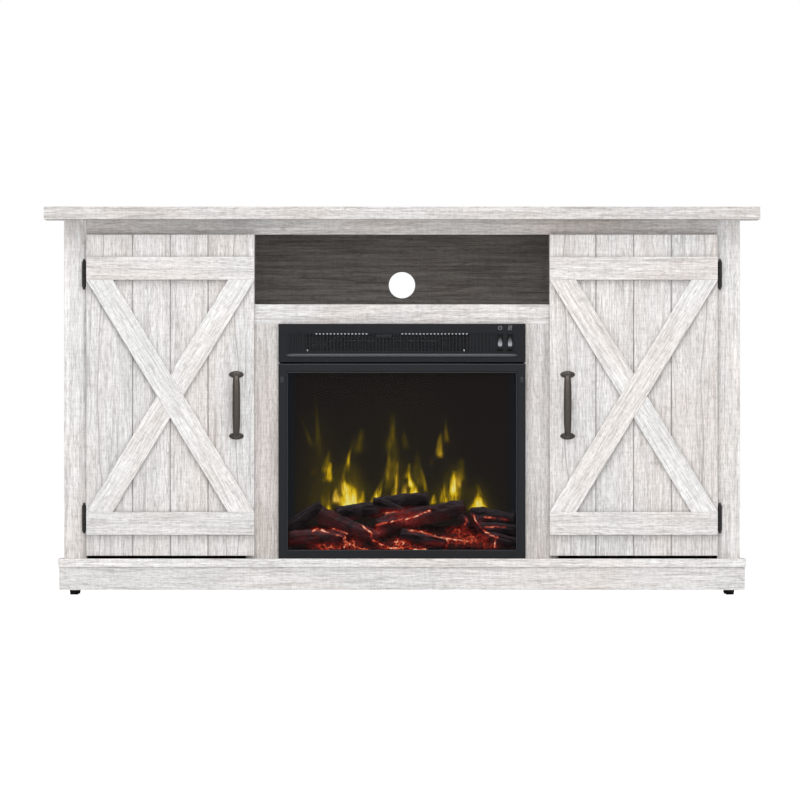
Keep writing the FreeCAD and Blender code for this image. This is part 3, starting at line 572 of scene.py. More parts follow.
# The same print in charcoal, for the bay's back and floor, painted lighter than charcoal as light inside the
# bay.
CHARCOAL_PAINTED_LIGHTER = Laminate("charcoal_oak_laminate_painted_lighter", "#BCB6B1", "#A6A09B", "#89837F", "#69645F")
# Raw hardboard faces behind the side cabinets.
HARDBOARD = Coated("printed_hardboard", "#8C857E", "#746D66", 0.75, grain_mm=3.0, brushed=4.0)
PINE = Laminate("planed_pine", "#E2C79A", "#D8B883", "#C69F66", "#A87C45")
# Polyester powder coat on steel: satin black with a faint orange peel.
POWDER_COAT = Coated("satin_black_powder_coat", "#191B20", "#121418", 0.42, bump=0.2, specular=0.2)
# A paler coat laid in thin lines along the glass frame's edges: painted highlights.
EDGE_HIGHLIGHT_COAT = Coated("painted_edge_highlight_coat", "#44464C", "#35373C", 0.5, bump=0.1)
HINGE_COAT = Coated("black_hinge_coat", "#2B2A28", "#1C1B1A", 0.45)
# Moulded ABS with a fine spark texture; its lip is coloured paler as a painted highlight, and its signs are
# grey ink.
BLACK_ABS = Coated("textured_black_abs", "#18191E", "#101116", 0.5, grain_mm=0.9, bump=0.25, specular=0.2)
ROCKER_ABS = Coated("gloss_black_abs", "#101113", "#0B0C0D", 0.42, bump=0.02, specular=0.12)
LIP_HIGHLIGHT_COAT = Coated("satin_black_lip_painted_highlight", "#4D4F54", "#3E4045", 0.35, grain_mm=2.0, brushed=12.0, bump=0.05)
PRINT = Coated("white_pad_print", "#8E9094", "#7A7C80", 0.6, bump=0.02)
NYLON = Coated("black_nylon", "#232220", "#191817", 0.6)
# Die-cast zinc under an oil-rubbed bronze lacquer: dark brown, soft sheen.
BRONZE = Coated("oil_rubbed_bronze", "#57504B", "#3B3633", 0.38, metallic=0.55, grain_mm=2.0, bump=0.1)
ZINC = Coated("bright_zinc", "#B9BBBD", "#9A9C9E", 0.3, metallic=1.0, bump=0.05)
# Pale marks on the outlet's upper slots: painted highlights.
SLOT_HIGHLIGHT = Coated("painted_slot_highlights", "#C0C2C4", "#86888B", 0.4, metallic=0.2, bump=0.05)
# Pressed spring steel under a dark wash.
CLIP = Coated("dark_spring_steel", "#34363A", "#26282C", 0.4, metallic=0.3, bump=0.05)
MOTOR_STEEL = Coated("pressed_steel_can", "#A5A7A8", "#87898B", 0.4, metallic=1.0)
FAN_METAL = Coated("mill_aluminium", "#C9CBCC", "#A9ABAD", 0.35, metallic=1.0, brushed=8.0)
GALVANISED = Coated("galvanised_sheet", "#6E7274", "#54585A", 0.55, metallic=1.0, grain_mm=9.0)
FOIL = Coated("reflector_foil", "#E6E7E8", "#CFD1D3", 0.15, metallic=1.0)
BOARD_GREEN = Coated("solder_mask", "#1F6B3A", "#17522C", 0.3)
MICA = Coated("mica_sheet", "#5A5048", "#3E3630", 0.5, grain_mm=5.0)


def smoked_glass() -> bpy.types.Material:
    """Tempered glass tinted smoke grey: it darkens what is behind it and gives a faint clear reflection."""
    paint = Paint("smoked_tempered_glass")
    rough = paint.remap(paint.noise(paint.place, 9.0, 3.0), 0.0, 1.0, 0.03, 0.09)
    return paint.done({"Base Color": "#08080A", "Roughness": rough, "Alpha": 0.3, "Specular IOR Level": 0.12})


def frosted_lens(foot: float, tip: float) -> bpy.types.Material:
    """Frosted polycarbonate: pale at its foot, darker toward its tip.

    Args:
        foot: the lens's lowest Z.
        tip: its highest Z.

    Returns:
        The material.
    """
    paint = Paint("frosted_polycarbonate")
    frost = paint.noise(paint.place, 1500.0, 3.0)
    mixed = paint.math("MULTIPLY_ADD", frost, 0.12, paint.remap(paint.axis("Z"), foot, tip))
    tone = paint.ramp(mixed, (0.05, "#7A7B82"), (0.3, "#94959C"), (0.6, "#66696E"), (0.85, "#44464B"),
                      (1.0, "#303236"))
    return paint.done({"Base Color": tone, "Roughness": 0.35, "Normal": paint.bump(frost, 0.1, 0.0001),
                       "Specular IOR Level": 0.35})


def dress(node: str, material: bpy.types.Material) -> None:
    """Gives a CAD node one material all over.

    Args:
        node: the node's name.
        material: its finish.
    """
    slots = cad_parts[node].data.materials
    slots.clear()
    slots.append(material)
    LOG.info("%s: %s", node, material.name)


def extent(node: str) -> tuple[np.ndarray, np.ndarray]:
    """Lowest and highest corners of a CAD node as arrays, in metres."""
    low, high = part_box(node)
    return np.array(low), np.array(high)


# ---------------------------------------------------------------- cabinet
@dataclass
class Cabinet:
    """The carcass, its shelves and backs, the plinth, the doors' boards and all small hardware."""

    brace_angle: float = math.radians(58.6)
    groove_pitch: float = 72.3 * MM
    brace_half: float = 21.75 * MM
    rail_half: float = 22.3 * MM
    line_places: tuple[float, float] = (-0.578, -0.316)     # long printed grain lines on the left door
    level_boards: tuple[str, ...] = ("top_panel", "top_rail", "media_rail", "base_panel", "plinth_front",
                                     "side_shelves", "left_door_rails", "right_door_rails")
    upright_boards: tuple[str, ...] = ("left_stile", "right_stile", "insert_stiles", "left_side_panel",
                                       "right_side_panel", "left_partition", "right_partition")
    # Boards cut from copies of the print painted lighter as lit, or darker as shade.
    painted_lit_boards: tuple[str, ...] = ("base_panel", "left_stile", "right_stile")
    painted_shade_boards: tuple[str, ...] = ("insert_stiles", "top_rail", "top_panel")
    dark_boards: tuple[str, ...] = ("media_shelf", "centre_back_panel")

    def build(self) -> None:
        """Dresses every node of the cabinet and its doors."""
        self.dress_boards()
        self.dress_doors()
        self.dress_hardware()

    def dress_boards(self) -> None:
        """Gives each board its own stretch of the printed sheet, with the grain along the board."""
        for count, node in enumerate(self.level_boards):
            dress(node, self.sheet(node).material(Grain.LEVEL.value, 0.37 * count))
        for count, node in enumerate(self.upright_boards):
            dress(node, self.sheet(node).material(Grain.UPRIGHT.value, 5.0 + 0.41 * count))
        # The bay's boards are painted lighter to stand in for light reaching into the bay.
        for count, node in enumerate(self.dark_boards):
            dress(node, CHARCOAL_PAINTED_LIGHTER.material(Grain.LEVEL.value, 0.9 * count))
        dress("plinth_ends", WHITEWASH.material(Grain.DEPTH.value, 8.3))
        dress("corner_blocks", PINE.material(Grain.LEVEL.value, 2.2))
        hardboard = HARDBOARD.material()
        for side in ("left", "right"):
            dress(f"{side}_back_panel", hardboard)

    def sheet(self, node: str) -> Laminate:
        """Which copy of the print a board gets: plain, painted lighter as lit, or painted darker as shade."""
        if node in self.painted_lit_boards:
            return WHITEWASH_PAINTED_LIT
        return WHITEWASH_PAINTED_SHADE if node in self.painted_shade_boards else WHITEWASH

    def dress_doors(self) -> None:
        """Dresses the two doors: upright planks, with the braces' grain along each brace."""
        for side, sign in (("left", 1), ("right", -1)):
            lines = tuple(sign * place for place in self.line_places)
            low, high = extent(f"{side}_door_panel")
            middle = (low[0] + high[0]) / 2
            grooves = (middle - self.groove_pitch, middle, middle + self.groove_pitch)
            dress(f"{side}_door_panel", WHITEWASH.material(Grain.UPRIGHT.value, 11.0 + sign, lines, grooves,
                                                           self.trim_lines(side, middle), low[1]))
            falling, rising = (0.0, -self.brace_angle, 0.0), (0.0, self.brace_angle, 0.0)
            long_turn, short_turn = (falling, rising) if sign > 0 else (rising, falling)
            # The braces get the copy painted lighter, as lit.
            dress(f"{side}_long_brace", WHITEWASH_PAINTED_LIT.material(long_turn, 14.0 + sign))
            dress(f"{side}_short_braces", WHITEWASH_PAINTED_LIT.material(short_turn, 17.5 + sign))

    def trim_lines(self, side: str, middle: float) -> tuple[TrimLine, ...]:
        """The two braces and two rails of a door, as lines.

        Args:
            side: left or right.
            middle: the door's middle X.

        Returns:
            One line per board.
        """
        low, high = extent(f"{side}_long_brace")
        level = (low[2] + high[2]) / 2
        sine, cosine = math.sin(self.brace_angle), math.cos(self.brace_angle)
        braces = [TrimLine((sine, tilt * cosine), sine * middle + tilt * cosine * level, self.brace_half,
                           level, (high[2] - low[2]) / 2) for tilt in (-1, 1)]
        rail_low, rail_high = extent(f"{side}_door_rails")
        rails = [TrimLine((0.0, 1.0), place, self.rail_half, place, 1.0)
                 for place in (rail_low[2] + self.rail_half, rail_high[2] - self.rail_half)]
        return tuple(braces + rails)

    def dress_hardware(self) -> None:
        """Dresses feet, pins, screws and hinges."""
        zinc, black = ZINC.material(), HINGE_COAT.material()
        for node in ("shelf_pins", "cabinet_screws", "left_door_screws", "right_door_screws"):
            dress(node, zinc)
        for node in ("hinge_frame_leaves", "hinge_pins", "left_door_hinge_leaves", "right_door_hinge_leaves"):
            dress(node, black)
        dress("feet", NYLON.material())


# ---------------------------------------------------------------- door handles
@dataclass
class Handle:
    """Cast bow handle: two domed oval feet and a faceted grip that swells towards its middle."""

    side: str
    body: Body
    centres: float = 118.0 * MM
    foot_half: tuple[float, float] = (14.3 * MM, 6.7 * MM)
    reach: float = 23.6 * MM            # of the grip's centre line
    end_half: float = 5.0 * MM
    swell: float = 2.4 * MM
    half_thick: float = 4.0 * MM
    corner: float = 0.52                # where the octagon's bevels start, as a share of each half-width
    ease: float = 0.12                  # how far each corner is rounded, as a share of the octagon's sides
    steps: int = 120
    # Foot profile: share of the oval, and height off the door in mm.
    foot_profile: tuple[tuple[float, float], ...] = (
        (1.0, 0.0), (1.0, 1.1), (0.985, 1.5), (0.95, 1.75), (0.90, 1.7), (0.86, 1.55), (0.83, 1.75),
        (0.78, 2.3), (0.70, 2.8), (0.58, 3.2), (0.42, 3.5), (0.2, 3.6))

    def octagon(self) -> np.ndarray:
        """A ring of an octagon with rounded corners, in half-widths: each corner is three close points."""
        cut = self.corner
        corners = np.array([(1, -cut), (1, cut), (cut, 1), (-cut, 1),
                            (-1, cut), (-1, -cut), (-cut, -1), (cut, -1)])
        before, after = np.roll(corners, 1, axis=0), np.roll(corners, -1, axis=0)
        return np.stack([corners + self.ease * (before - corners), corners * 0.985,
                         corners + self.ease * (after - corners)], axis=1).reshape(-1, 2)

    def grip(self, origin: np.ndarray) -> Shell:
        """The grip along a squared-off arch.

        At turn t from 0 to half a circle, height is the half-span times the signed root of cos t, and
        reach is the full reach times the root of sin t. Half-width is the end's plus swell times sin t
        squared.

        Args:
            origin: the middle between the feet, on the door's face.

        Returns:
            Vertices and faces.
        """
        t = np.pi * (0.5 - 0.5 * np.cos(np.pi * np.linspace(0, 1, self.steps)))
        rise = np.sign(np.cos(t)) * np.sqrt(np.abs(np.cos(t))) * self.centres / 2
        out = np.sqrt(np.clip(np.sin(t), 0, 1)) * self.reach
        centres = origin + np.stack([np.zeros_like(t), -out, rise], axis=1)
        along = np.gradient(centres, axis=0)
        along /= np.linalg.norm(along, axis=1, keepdims=True)
        side = np.array([1.0, 0.0, 0.0])
        up = np.cross(along, side)
        half = self.end_half + self.swell * np.sin(t) ** 2
        ring = self.octagon()
        across = ring[None, :, :1] * half[:, None, None] * side
        over = ring[None, :, 1:] * self.half_thick * up[:, None, :]
        return tube(centres, across, over)

    def foot(self, middle: np.ndarray) -> Shell:
        """An oval foot: the oval shrinks by the profile's shares as it rises off the door.

        Args:
            middle: its middle, on the door's face.

        Returns:
            Vertices and faces.
        """
        share, lift = np.array(self.foot_profile).T
        centres = middle + np.stack([np.zeros_like(lift), -lift * MM, np.zeros_like(lift)], axis=1)
        turn = np.linspace(0, 2 * np.pi, 64, endpoint=False)
        across = share[:, None, None] * np.cos(turn)[None, :, None] * np.array([self.foot_half[0], 0, 0])
        up = share[:, None, None] * np.sin(turn)[None, :, None] * np.array([0, 0, self.foot_half[1]])
        return tube(centres, across, up)

    def build(self, material: bpy.types.Material) -> None:
        """Makes the handle in place of the plain one."""
        node = f"{self.side}_door_handle"
        low, high = extent(node)
        origin = np.array([(low[0] + high[0]) / 2, high[1], (low[2] + high[2]) / 2])
        rise = np.array([0, 0, self.centres / 2])
        piece = make_piece(f"{self.side}_bow_handle",
                           [self.grip(origin), self.foot(origin + rise), self.foot(origin - rise)],
                           material, self.body)
        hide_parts(node)


# ---------------------------------------------------------------- firebox
# Glowing seams between logs and embers, as runs of X, Z in mm with a half-width in mm.
GLOW_SEAMS: tuple[tuple[float, tuple[tuple[float, float], ...]], ...] = (
    (1.6, ((-172, 121), (-161, 127), (-146, 121), (-128, 117), (-112, 110), (-106, 100), (-112, 90))),
    (1.5, ((-112, 103), (-98, 98), (-84, 90), (-66, 87))),
    (1.8, ((-77, 132), (-68, 124), (-60, 117), (-54, 106), (-43, 97), (-30, 89))),
    (1.1, ((-53, 133), (-36, 136), (-16, 141), (4, 144), (26, 150), (54, 161))),
    (0.8, ((-44, 150), (-30, 156), (-12, 158))),
    (1.5, ((14, 123), (30, 122), (48, 116), (66, 112), (84, 108), (88, 100), (84, 90))),
    (1.2, ((86, 108), (102, 106), (118, 103), (134, 104))),
    (1.2, ((136, 152), (142, 139), (150, 127), (160, 120), (176, 113), (184, 111))),
    (1.1, ((182, 111), (178, 101), (176, 91))),
    (0.8, ((158, 149), (176, 148), (194, 145), (204, 144))),
    (0.8, ((160, 130), (178, 131), (196, 129))),
    (0.9, ((120, 148), (124, 140), (118, 132))),
    (1.4, ((-30, 89), (-6, 90), (20, 88), (44, 86))),
    (0.9, ((-134, 128), (-120, 122), (-104, 118))),
)
# Patches where the bed glows: middle X, Z, half-width, half-height in mm, and strength.
GLOW_PATCHES: tuple[tuple[float, float, float, float, float], ...] = (
    (-140, 92, 38, 8, 0.85), (-96, 95, 20, 12, 0.9), (-2, 100, 20, 9, 1.15), (-1, 91, 46, 7, 0.9),
    (128, 106, 46, 14, 0.85), (108, 122, 22, 12, 0.8), (-134, 118, 30, 9, 0.62), (8, 150, 52, 16, 1.0),
    (-50, 122, 24, 14, 0.5), (160, 96, 30, 12, 0.55), (-100, 140, 26, 14, 0.25), (64, 99, 40, 7, 0.5),
    (150, 140, 16, 16, 0.4), (180, 132, 26, 14, 0.2), (-178, 118, 16, 10, 0.35))


def near_run(x: np.ndarray, z: np.ndarray, run: np.ndarray) -> np.ndarray:
    """Distance from each place to a run of straight pieces: the least over its pieces.

    Args:
        x: places' X.
        z: places' Z.
        run: the run's corners, n by 2.

    Returns:
        One distance per place.
    """
    best = np.full(x.shape, np.inf)
    for (ax, az), (bx, bz) in zip(run[:-1], run[1:]):
        dx, dz = bx - ax, bz - az
        share = np.clip(((x - ax) * dx + (z - az) * dz) / (dx * dx + dz * dz), 0, 1)
        best = np.minimum(best, np.hypot(x - ax - share * dx, z - az - share * dz))
    return best


def seam_glow(points: np.ndarray) -> np.ndarray:
    """How strongly a place glows because a seam passes it: 1 on the seam, fading over its half-width.

    Args:
        points: places in metres.

    Returns:
        Glow from 0 to about 1.
    """
    wander = 3.4 * layered_noise(points / (10 * MM), 71, 4)
    x, z = points[..., 0] / MM + wander, points[..., 2] / MM + np.roll(wander, 1)
    glow = np.zeros(x.shape)
    flicker = np.clip(0.66 + 0.95 * layered_noise(points / (9 * MM), 57, 3), 0.12, 1.15)
    for half, run in GLOW_SEAMS:
        away = near_run(x, z, np.array(run, float))
        core, halo = (np.exp(-(away / (width * half)) ** 2) for width in (0.8, 4.4))
        glow = np.maximum(glow, core + 0.46 * halo)
    return glow * flicker


def patch_glow(points: np.ndarray) -> np.ndarray:
    """Glow of the broad patches: each is a soft oval hill, and the strongest counts.

    Args:
        points: places in metres.

    Returns:
        Glow from 0 to about 1.
    """
    x, z = points[..., 0] / MM, points[..., 2] / MM
    glow = np.zeros(x.shape)
    for middle, level, wide, high, strength in GLOW_PATCHES:
        hill = strength * np.exp(-((x - middle) / wide) ** 2 - ((z - level) / high) ** 2)
        glow = np.maximum(glow, hill)
    return glow


def nearest_cells(places: np.ndarray, seed: int) -> tuple[np.ndarray, np.ndarray]:
    """Distances to the nearest and second nearest of points scattered one to a square.

    Args:
        places: positions in cell widths, any shape by 2.
        seed: which scatter.

    Returns:
        The two distances.
    """
    base = np.floor(places)
    distances = []
    for step_x in (-1, 0, 1):
        for step_y in (-1, 0, 1):
            cell = base + np.array([step_x, step_y])
            three = np.concatenate([cell, np.zeros(cell.shape[:-1] + (1,))], axis=-1)
            jitter = np.stack([lattice_noise(three, seed), lattice_noise(three, seed + 9)], axis=-1)
            distances.append(np.linalg.norm(cell + 0.5 + 0.42 * jitter - places, axis=-1))
    ordered = np.sort(np.stack(distances), axis=0)
    return ordered[0], ordered[1]


@dataclass(frozen=True)
class Charred:
    """Cast resin painted as charred wood: near-black with grey ash on top, lit from inside at its cracks."""

    name: str
    deep: str
    bark: str
    ash: str
    strength: float = 1.6
    crack_mm: float = 7.0

    def material(self) -> bpy.types.Material:
        """Dark fibrous resin with light coming through where the "glow" attribute is high."""
        paint = Paint(self.name)
        fibres = paint.noise(paint.place, 260.0, 5.0, Roughness=0.65)
        tone = paint.ramp(paint.noise(paint.place, 60.0, 4.0), (0.35, self.deep), (0.65, self.bark))
        normal = add(paint.tree, "NewGeometry").outputs["Normal"]
        up = add(paint.tree, "SeparateXYZ", {"Vector": normal}).outputs["Z"]
        ash = paint.remap(paint.math("MULTIPLY", up, fibres), 0.1, 0.62, 0.0, 0.75)
        tone = paint.mix(ash, tone, self.ash)
        crack = add(paint.tree, "TexVoronoi", {"Vector": paint.place, "Scale": 1000 / self.crack_mm},
                    feature="DISTANCE_TO_EDGE").outputs[0]
        lit = paint.math("MULTIPLY", paint.stored("glow"), paint.remap(crack, 0.0, 0.35, 1.15, 0.62))
        lit = paint.math("MULTIPLY", lit, paint.remap(fibres, 0.3, 0.7, 0.55, 1.25))
        light = paint.ramp(lit, (0.06, "#000000"), (0.26, "#4A0E0A"), (0.46, "#A02414"), (0.66, "#DE5A30"),
                           (0.84, "#F6A67A"), (1.0, "#FFE6C4"))
        return paint.done({"Base Color": tone, "Roughness": 0.85, "Normal": paint.bump(fibres, 0.5, 0.0008),
                           "Emission Color": light, "Emission Strength": self.strength,
                           "Specular IOR Level": 0.2})


CHARRED_LOG = Charred("charred_log_resin", "#1A1516", "#43363B", "#84767E")
EMBER = Charred("ember_resin", "#150C0B", "#38201C", "#5A4038", crack_mm=5.0)


@dataclass(frozen=True)
class Log:
    """One log: its ends as X, Y, Z in mm, its radius at each, and its seed."""

    start: tuple[float, float, float]
    end: tuple[float, float, float]
    thick: float
    thin: float
    seed: int
    bow: float = 0.0                # how far its middle sags, in mm
    inner_glow: float = 0.0         # glow spread over its underside


@dataclass
class LogPile:
    """Moulded logs heaped on the embers."""

    logs: tuple[Log, ...] = (
        Log((-224, -117, 122), (-153, -112, 172), 14, 10, 1),
        Log((-160, -122, 156), (-44, -126, 106), 15.5, 13, 2, 2, 0.25),
        Log((-128, -98, 152), (-40, -97, 163), 15, 14, 3, -2),
        Log((-56, -97, 169), (52, -94, 180), 15.5, 14, 4, -3),
        Log((-50, -112, 124), (122, -106, 166), 20, 15.5, 5, -5, 0.15),
        Log((128, -101, 150), (218, -100, 140), 17.5, 15, 6, -2),
        Log((-218, -128, 108), (-110, -129, 110), 13.5, 12, 7, -2, 0.26),
        Log((-4, -128, 116), (84, -130, 96), 12, 10, 8, -1),
        Log((-51, -113, 181), (6, -116, 156), 8, 7, 9, -2),
        Log((130, -118, 156), (166, -126, 104), 7.5, 6, 10, 2, 0.2),
        Log((146, -122, 128), (220, -124, 124), 10, 9, 11, -2, 0.1),
        Log((110, -116, 150), (128, -120, 130), 11, 9, 12, 0, 0.15),
        Log((166, -130, 110), (220, -128, 98), 11, 10, 13, 0, 0.1),
    )
    around: int = 56
    spacing: float = 1.35 * MM
    wander: float = 2.2 * MM            # how far a log's line strays
    ridge: float = 0.34                 # height of the bark's ridges and knots, as shares of the radius
    knot: float = 0.2
    clear: float = 1.0 * MM             # room kept to the glass and to the flame screen

    def shape(self, log: Log) -> Shell:
        """One log as a bark-covered tube.

        Radius at share s along and angle a around is the taper from thick to thin, times a rounding near
        the ends, plus long ridges from noise stretched along the log and knots from round noise.

        Args:
            log: its sizes.

        Returns:
            Vertices and faces.
        """
        start, end = np.array(log.start) * MM, np.array(log.end) * MM
        length = np.linalg.norm(end - start)
        along = (end - start) / length
        count = int(length / self.spacing)
        s = np.linspace(0, 1, count)
        side = np.cross(along, [0.0, 1.0, 0.0])
        side /= np.linalg.norm(side)
        up = np.cross(along, side)
        centres = start + s[:, None] * (end - start)
        centres[:, 2] -= log.bow * MM * np.sin(np.pi * s)
        wander = np.stack([s * length / (30 * MM), np.full(count, 3.3), np.full(count, 7.1)], axis=1)
        centres[:, 2] += self.wander * layered_noise(wander, log.seed + 200, 2)
        radius = (log.thick + (log.thin - log.thick) * s) * MM
        end_room = np.minimum(s, 1 - s) * length / radius
        rounding = np.sqrt(1 - (1 - np.clip(end_room / 0.34, 0, 1)) ** 2) * 0.62 + 0.38
        rounding[[0, -1]] = 0.3
        a = np.linspace(0, 2 * np.pi, self.around, endpoint=False)
        ring = np.stack([np.cos(a), np.sin(a)], axis=1)
        along_mm = np.broadcast_to(s[:, None] * length / MM, (count, self.around))
        ridge_places = np.stack([along_mm / 26, 2.9 * np.broadcast_to(ring[:, 0], along_mm.shape),
                                 2.9 * np.broadcast_to(ring[:, 1], along_mm.shape)], axis=-1)
        ridges = layered_noise(ridge_places, log.seed, 4)
        knots = layered_noise(ridge_places * np.array([2.4, 0.6, 0.6]), log.seed + 50, 3)
        grown = radius[:, None] * rounding[:, None] * (1 + self.ridge * ridges + self.knot * knots)
        across = grown[..., None] * ring[None, :, :1] * side
        over = grown[..., None] * ring[None, :, 1:] * up
        return tube(centres, across, over)

    def build(self, material: bpy.types.Material) -> None:
        """Makes the heap in place of the plain logs, kept between the glass and the flame screen."""
        parts, glows = [], []
        glass_back, screen_front = extent("glass_pane")[1][1], extent("flame_screen")[0][1]
        for log in self.logs:
            vertices, faces = self.shape(log)
            vertices[:, 1] = np.clip(vertices[:, 1], glass_back + self.clear, screen_front - self.clear)
            middle = (log.start[2] + log.end[2]) / 2 * MM
            under = np.clip((middle - vertices[:, 2]) / (12 * MM), 0, 1)
            ember_tint = log.inner_glow * (0.6 + 0.8 * layered_noise(vertices / (11 * MM), log.seed, 3))
            glow = np.maximum(seam_glow(vertices), 0.68 * patch_glow(vertices) * (0.55 + 0.6 * under))
            parts.append((vertices, faces))
            glows.append(np.maximum(glow, ember_tint))
        piece = make_piece("charred_logs", parts, material)
        store(piece, "glow", np.concatenate(glows))
        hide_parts("log_set")


@dataclass
class EmberBed:
    """Thin moulded bed of coals: a sloping skin with a lump for each coal."""

    spacing: float = 1.25 * MM
    coal: float = 13.0 * MM
    coal_height: float = 6.5 * MM
    wall: float = 2.0 * MM
    brow: float = 0.34                  # height of the bed's front, as a share of the whole
    chink: float = 0.22                 # width of the dark gap between coals, in coals

    def profile(self, low: np.ndarray, high: np.ndarray) -> tuple[np.ndarray, np.ndarray]:
        """The bed's outline seen from its end, and the way each of its points faces.

        It goes up the front, over the slope, and down the back.

        Args:
            low: the bed's lowest corner.
            high: its highest corner.

        Returns:
            Points and outward directions, both n by 2 as Y, Z.
        """
        brow = low[2] + self.brow * (high[2] - low[2])
        corners = np.array([[low[1], low[2]], [low[1], brow], [high[1], high[2]], [high[1], low[2]]])
        runs = np.linalg.norm(np.diff(corners, axis=0), axis=1)
        at = np.concatenate([[0], np.cumsum(runs)])
        places = np.linspace(0, at[-1], int(at[-1] / self.spacing))
        points = np.stack([np.interp(places, at, corners[:, k]) for k in (0, 1)], axis=1)
        smooth = np.ones(9) / 9
        padded = np.pad(points, ((4, 4), (0, 0)), mode="edge")
        points = np.stack([np.convolve(padded[:, k], smooth, mode="valid") for k in (0, 1)], axis=1)
        way = np.gradient(points, axis=0)
        way /= np.linalg.norm(way, axis=1, keepdims=True)
        return points, np.stack([-way[:, 1], way[:, 0]], axis=1)

    def build(self, material: bpy.types.Material) -> None:
        """Makes the bed in place of the plain one.

        Depth at each place is a coal's dome, one less the square of the distance to the nearest scattered
        point, plus noise, pushed inward so that no lump stands proud of the plain bed.
        """
        low, high = extent("ember_bed")
        points, facing = self.profile(low, high)
        x = np.linspace(low[0], high[0], int((high[0] - low[0]) / self.spacing))
        run = np.concatenate([[0], np.cumsum(np.linalg.norm(np.diff(points, axis=0), axis=1))])
        flat_x, flat_run = np.meshgrid(x, run)
        places = np.stack([flat_x, flat_run], axis=-1) / self.coal
        level = np.concatenate([places, 0 * places[..., :1]], axis=-1)
        places += 0.35 * layered_noise(level, 31, 2)[..., None]
        first, second = nearest_cells(places, 17)
        gap = np.clip((second - first) / self.chink, 0, 1)
        three = np.concatenate([places * 2.2, 0 * places[..., :1]], axis=-1)
        dome = np.sqrt(gap) * (1 - 0.6 * first ** 2) + 0.16 * layered_noise(three, 5, 4)
        push = self.coal_height * (np.clip(dome, 0, 1.1) - 1.1)
        grid = np.empty(flat_x.shape + (3,))
        grid[..., 0] = flat_x
        grid[..., 1] = points[:, :1] + facing[:, :1] * push
        grid[..., 2] = points[:, 1:] + facing[:, 1:] * push
        inner = grid.copy()
        inner[..., 1] -= facing[:, :1] * self.wall
        inner[..., 2] -= facing[:, 1:] * self.wall
        grid[..., 2] = np.maximum(grid[..., 2], low[2])
        inner[..., 2] = np.maximum(inner[..., 2], low[2])
        piece = make_piece("ember_coals", [slab(grid, inner)], material)
        chink = 1 - gap
        glow = patch_glow(grid) * (0.42 + 0.75 * chink + 0.35 * layered_noise(three * 1.6, 23, 3))
        glow = np.maximum(glow, seam_glow(grid))
        store(piece, "glow", np.concatenate([glow.ravel(), np.zeros(glow.size)]))
        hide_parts("ember_bed")


@dataclass(frozen=True)
class Flame:
    """One tongue: its foot's X and Z, half-width, height and lean in mm, and how bright and red it is."""

    x: float
    z: float
    half: float
    height: float
    lean: float
    bright: float
    red: float = 0.0


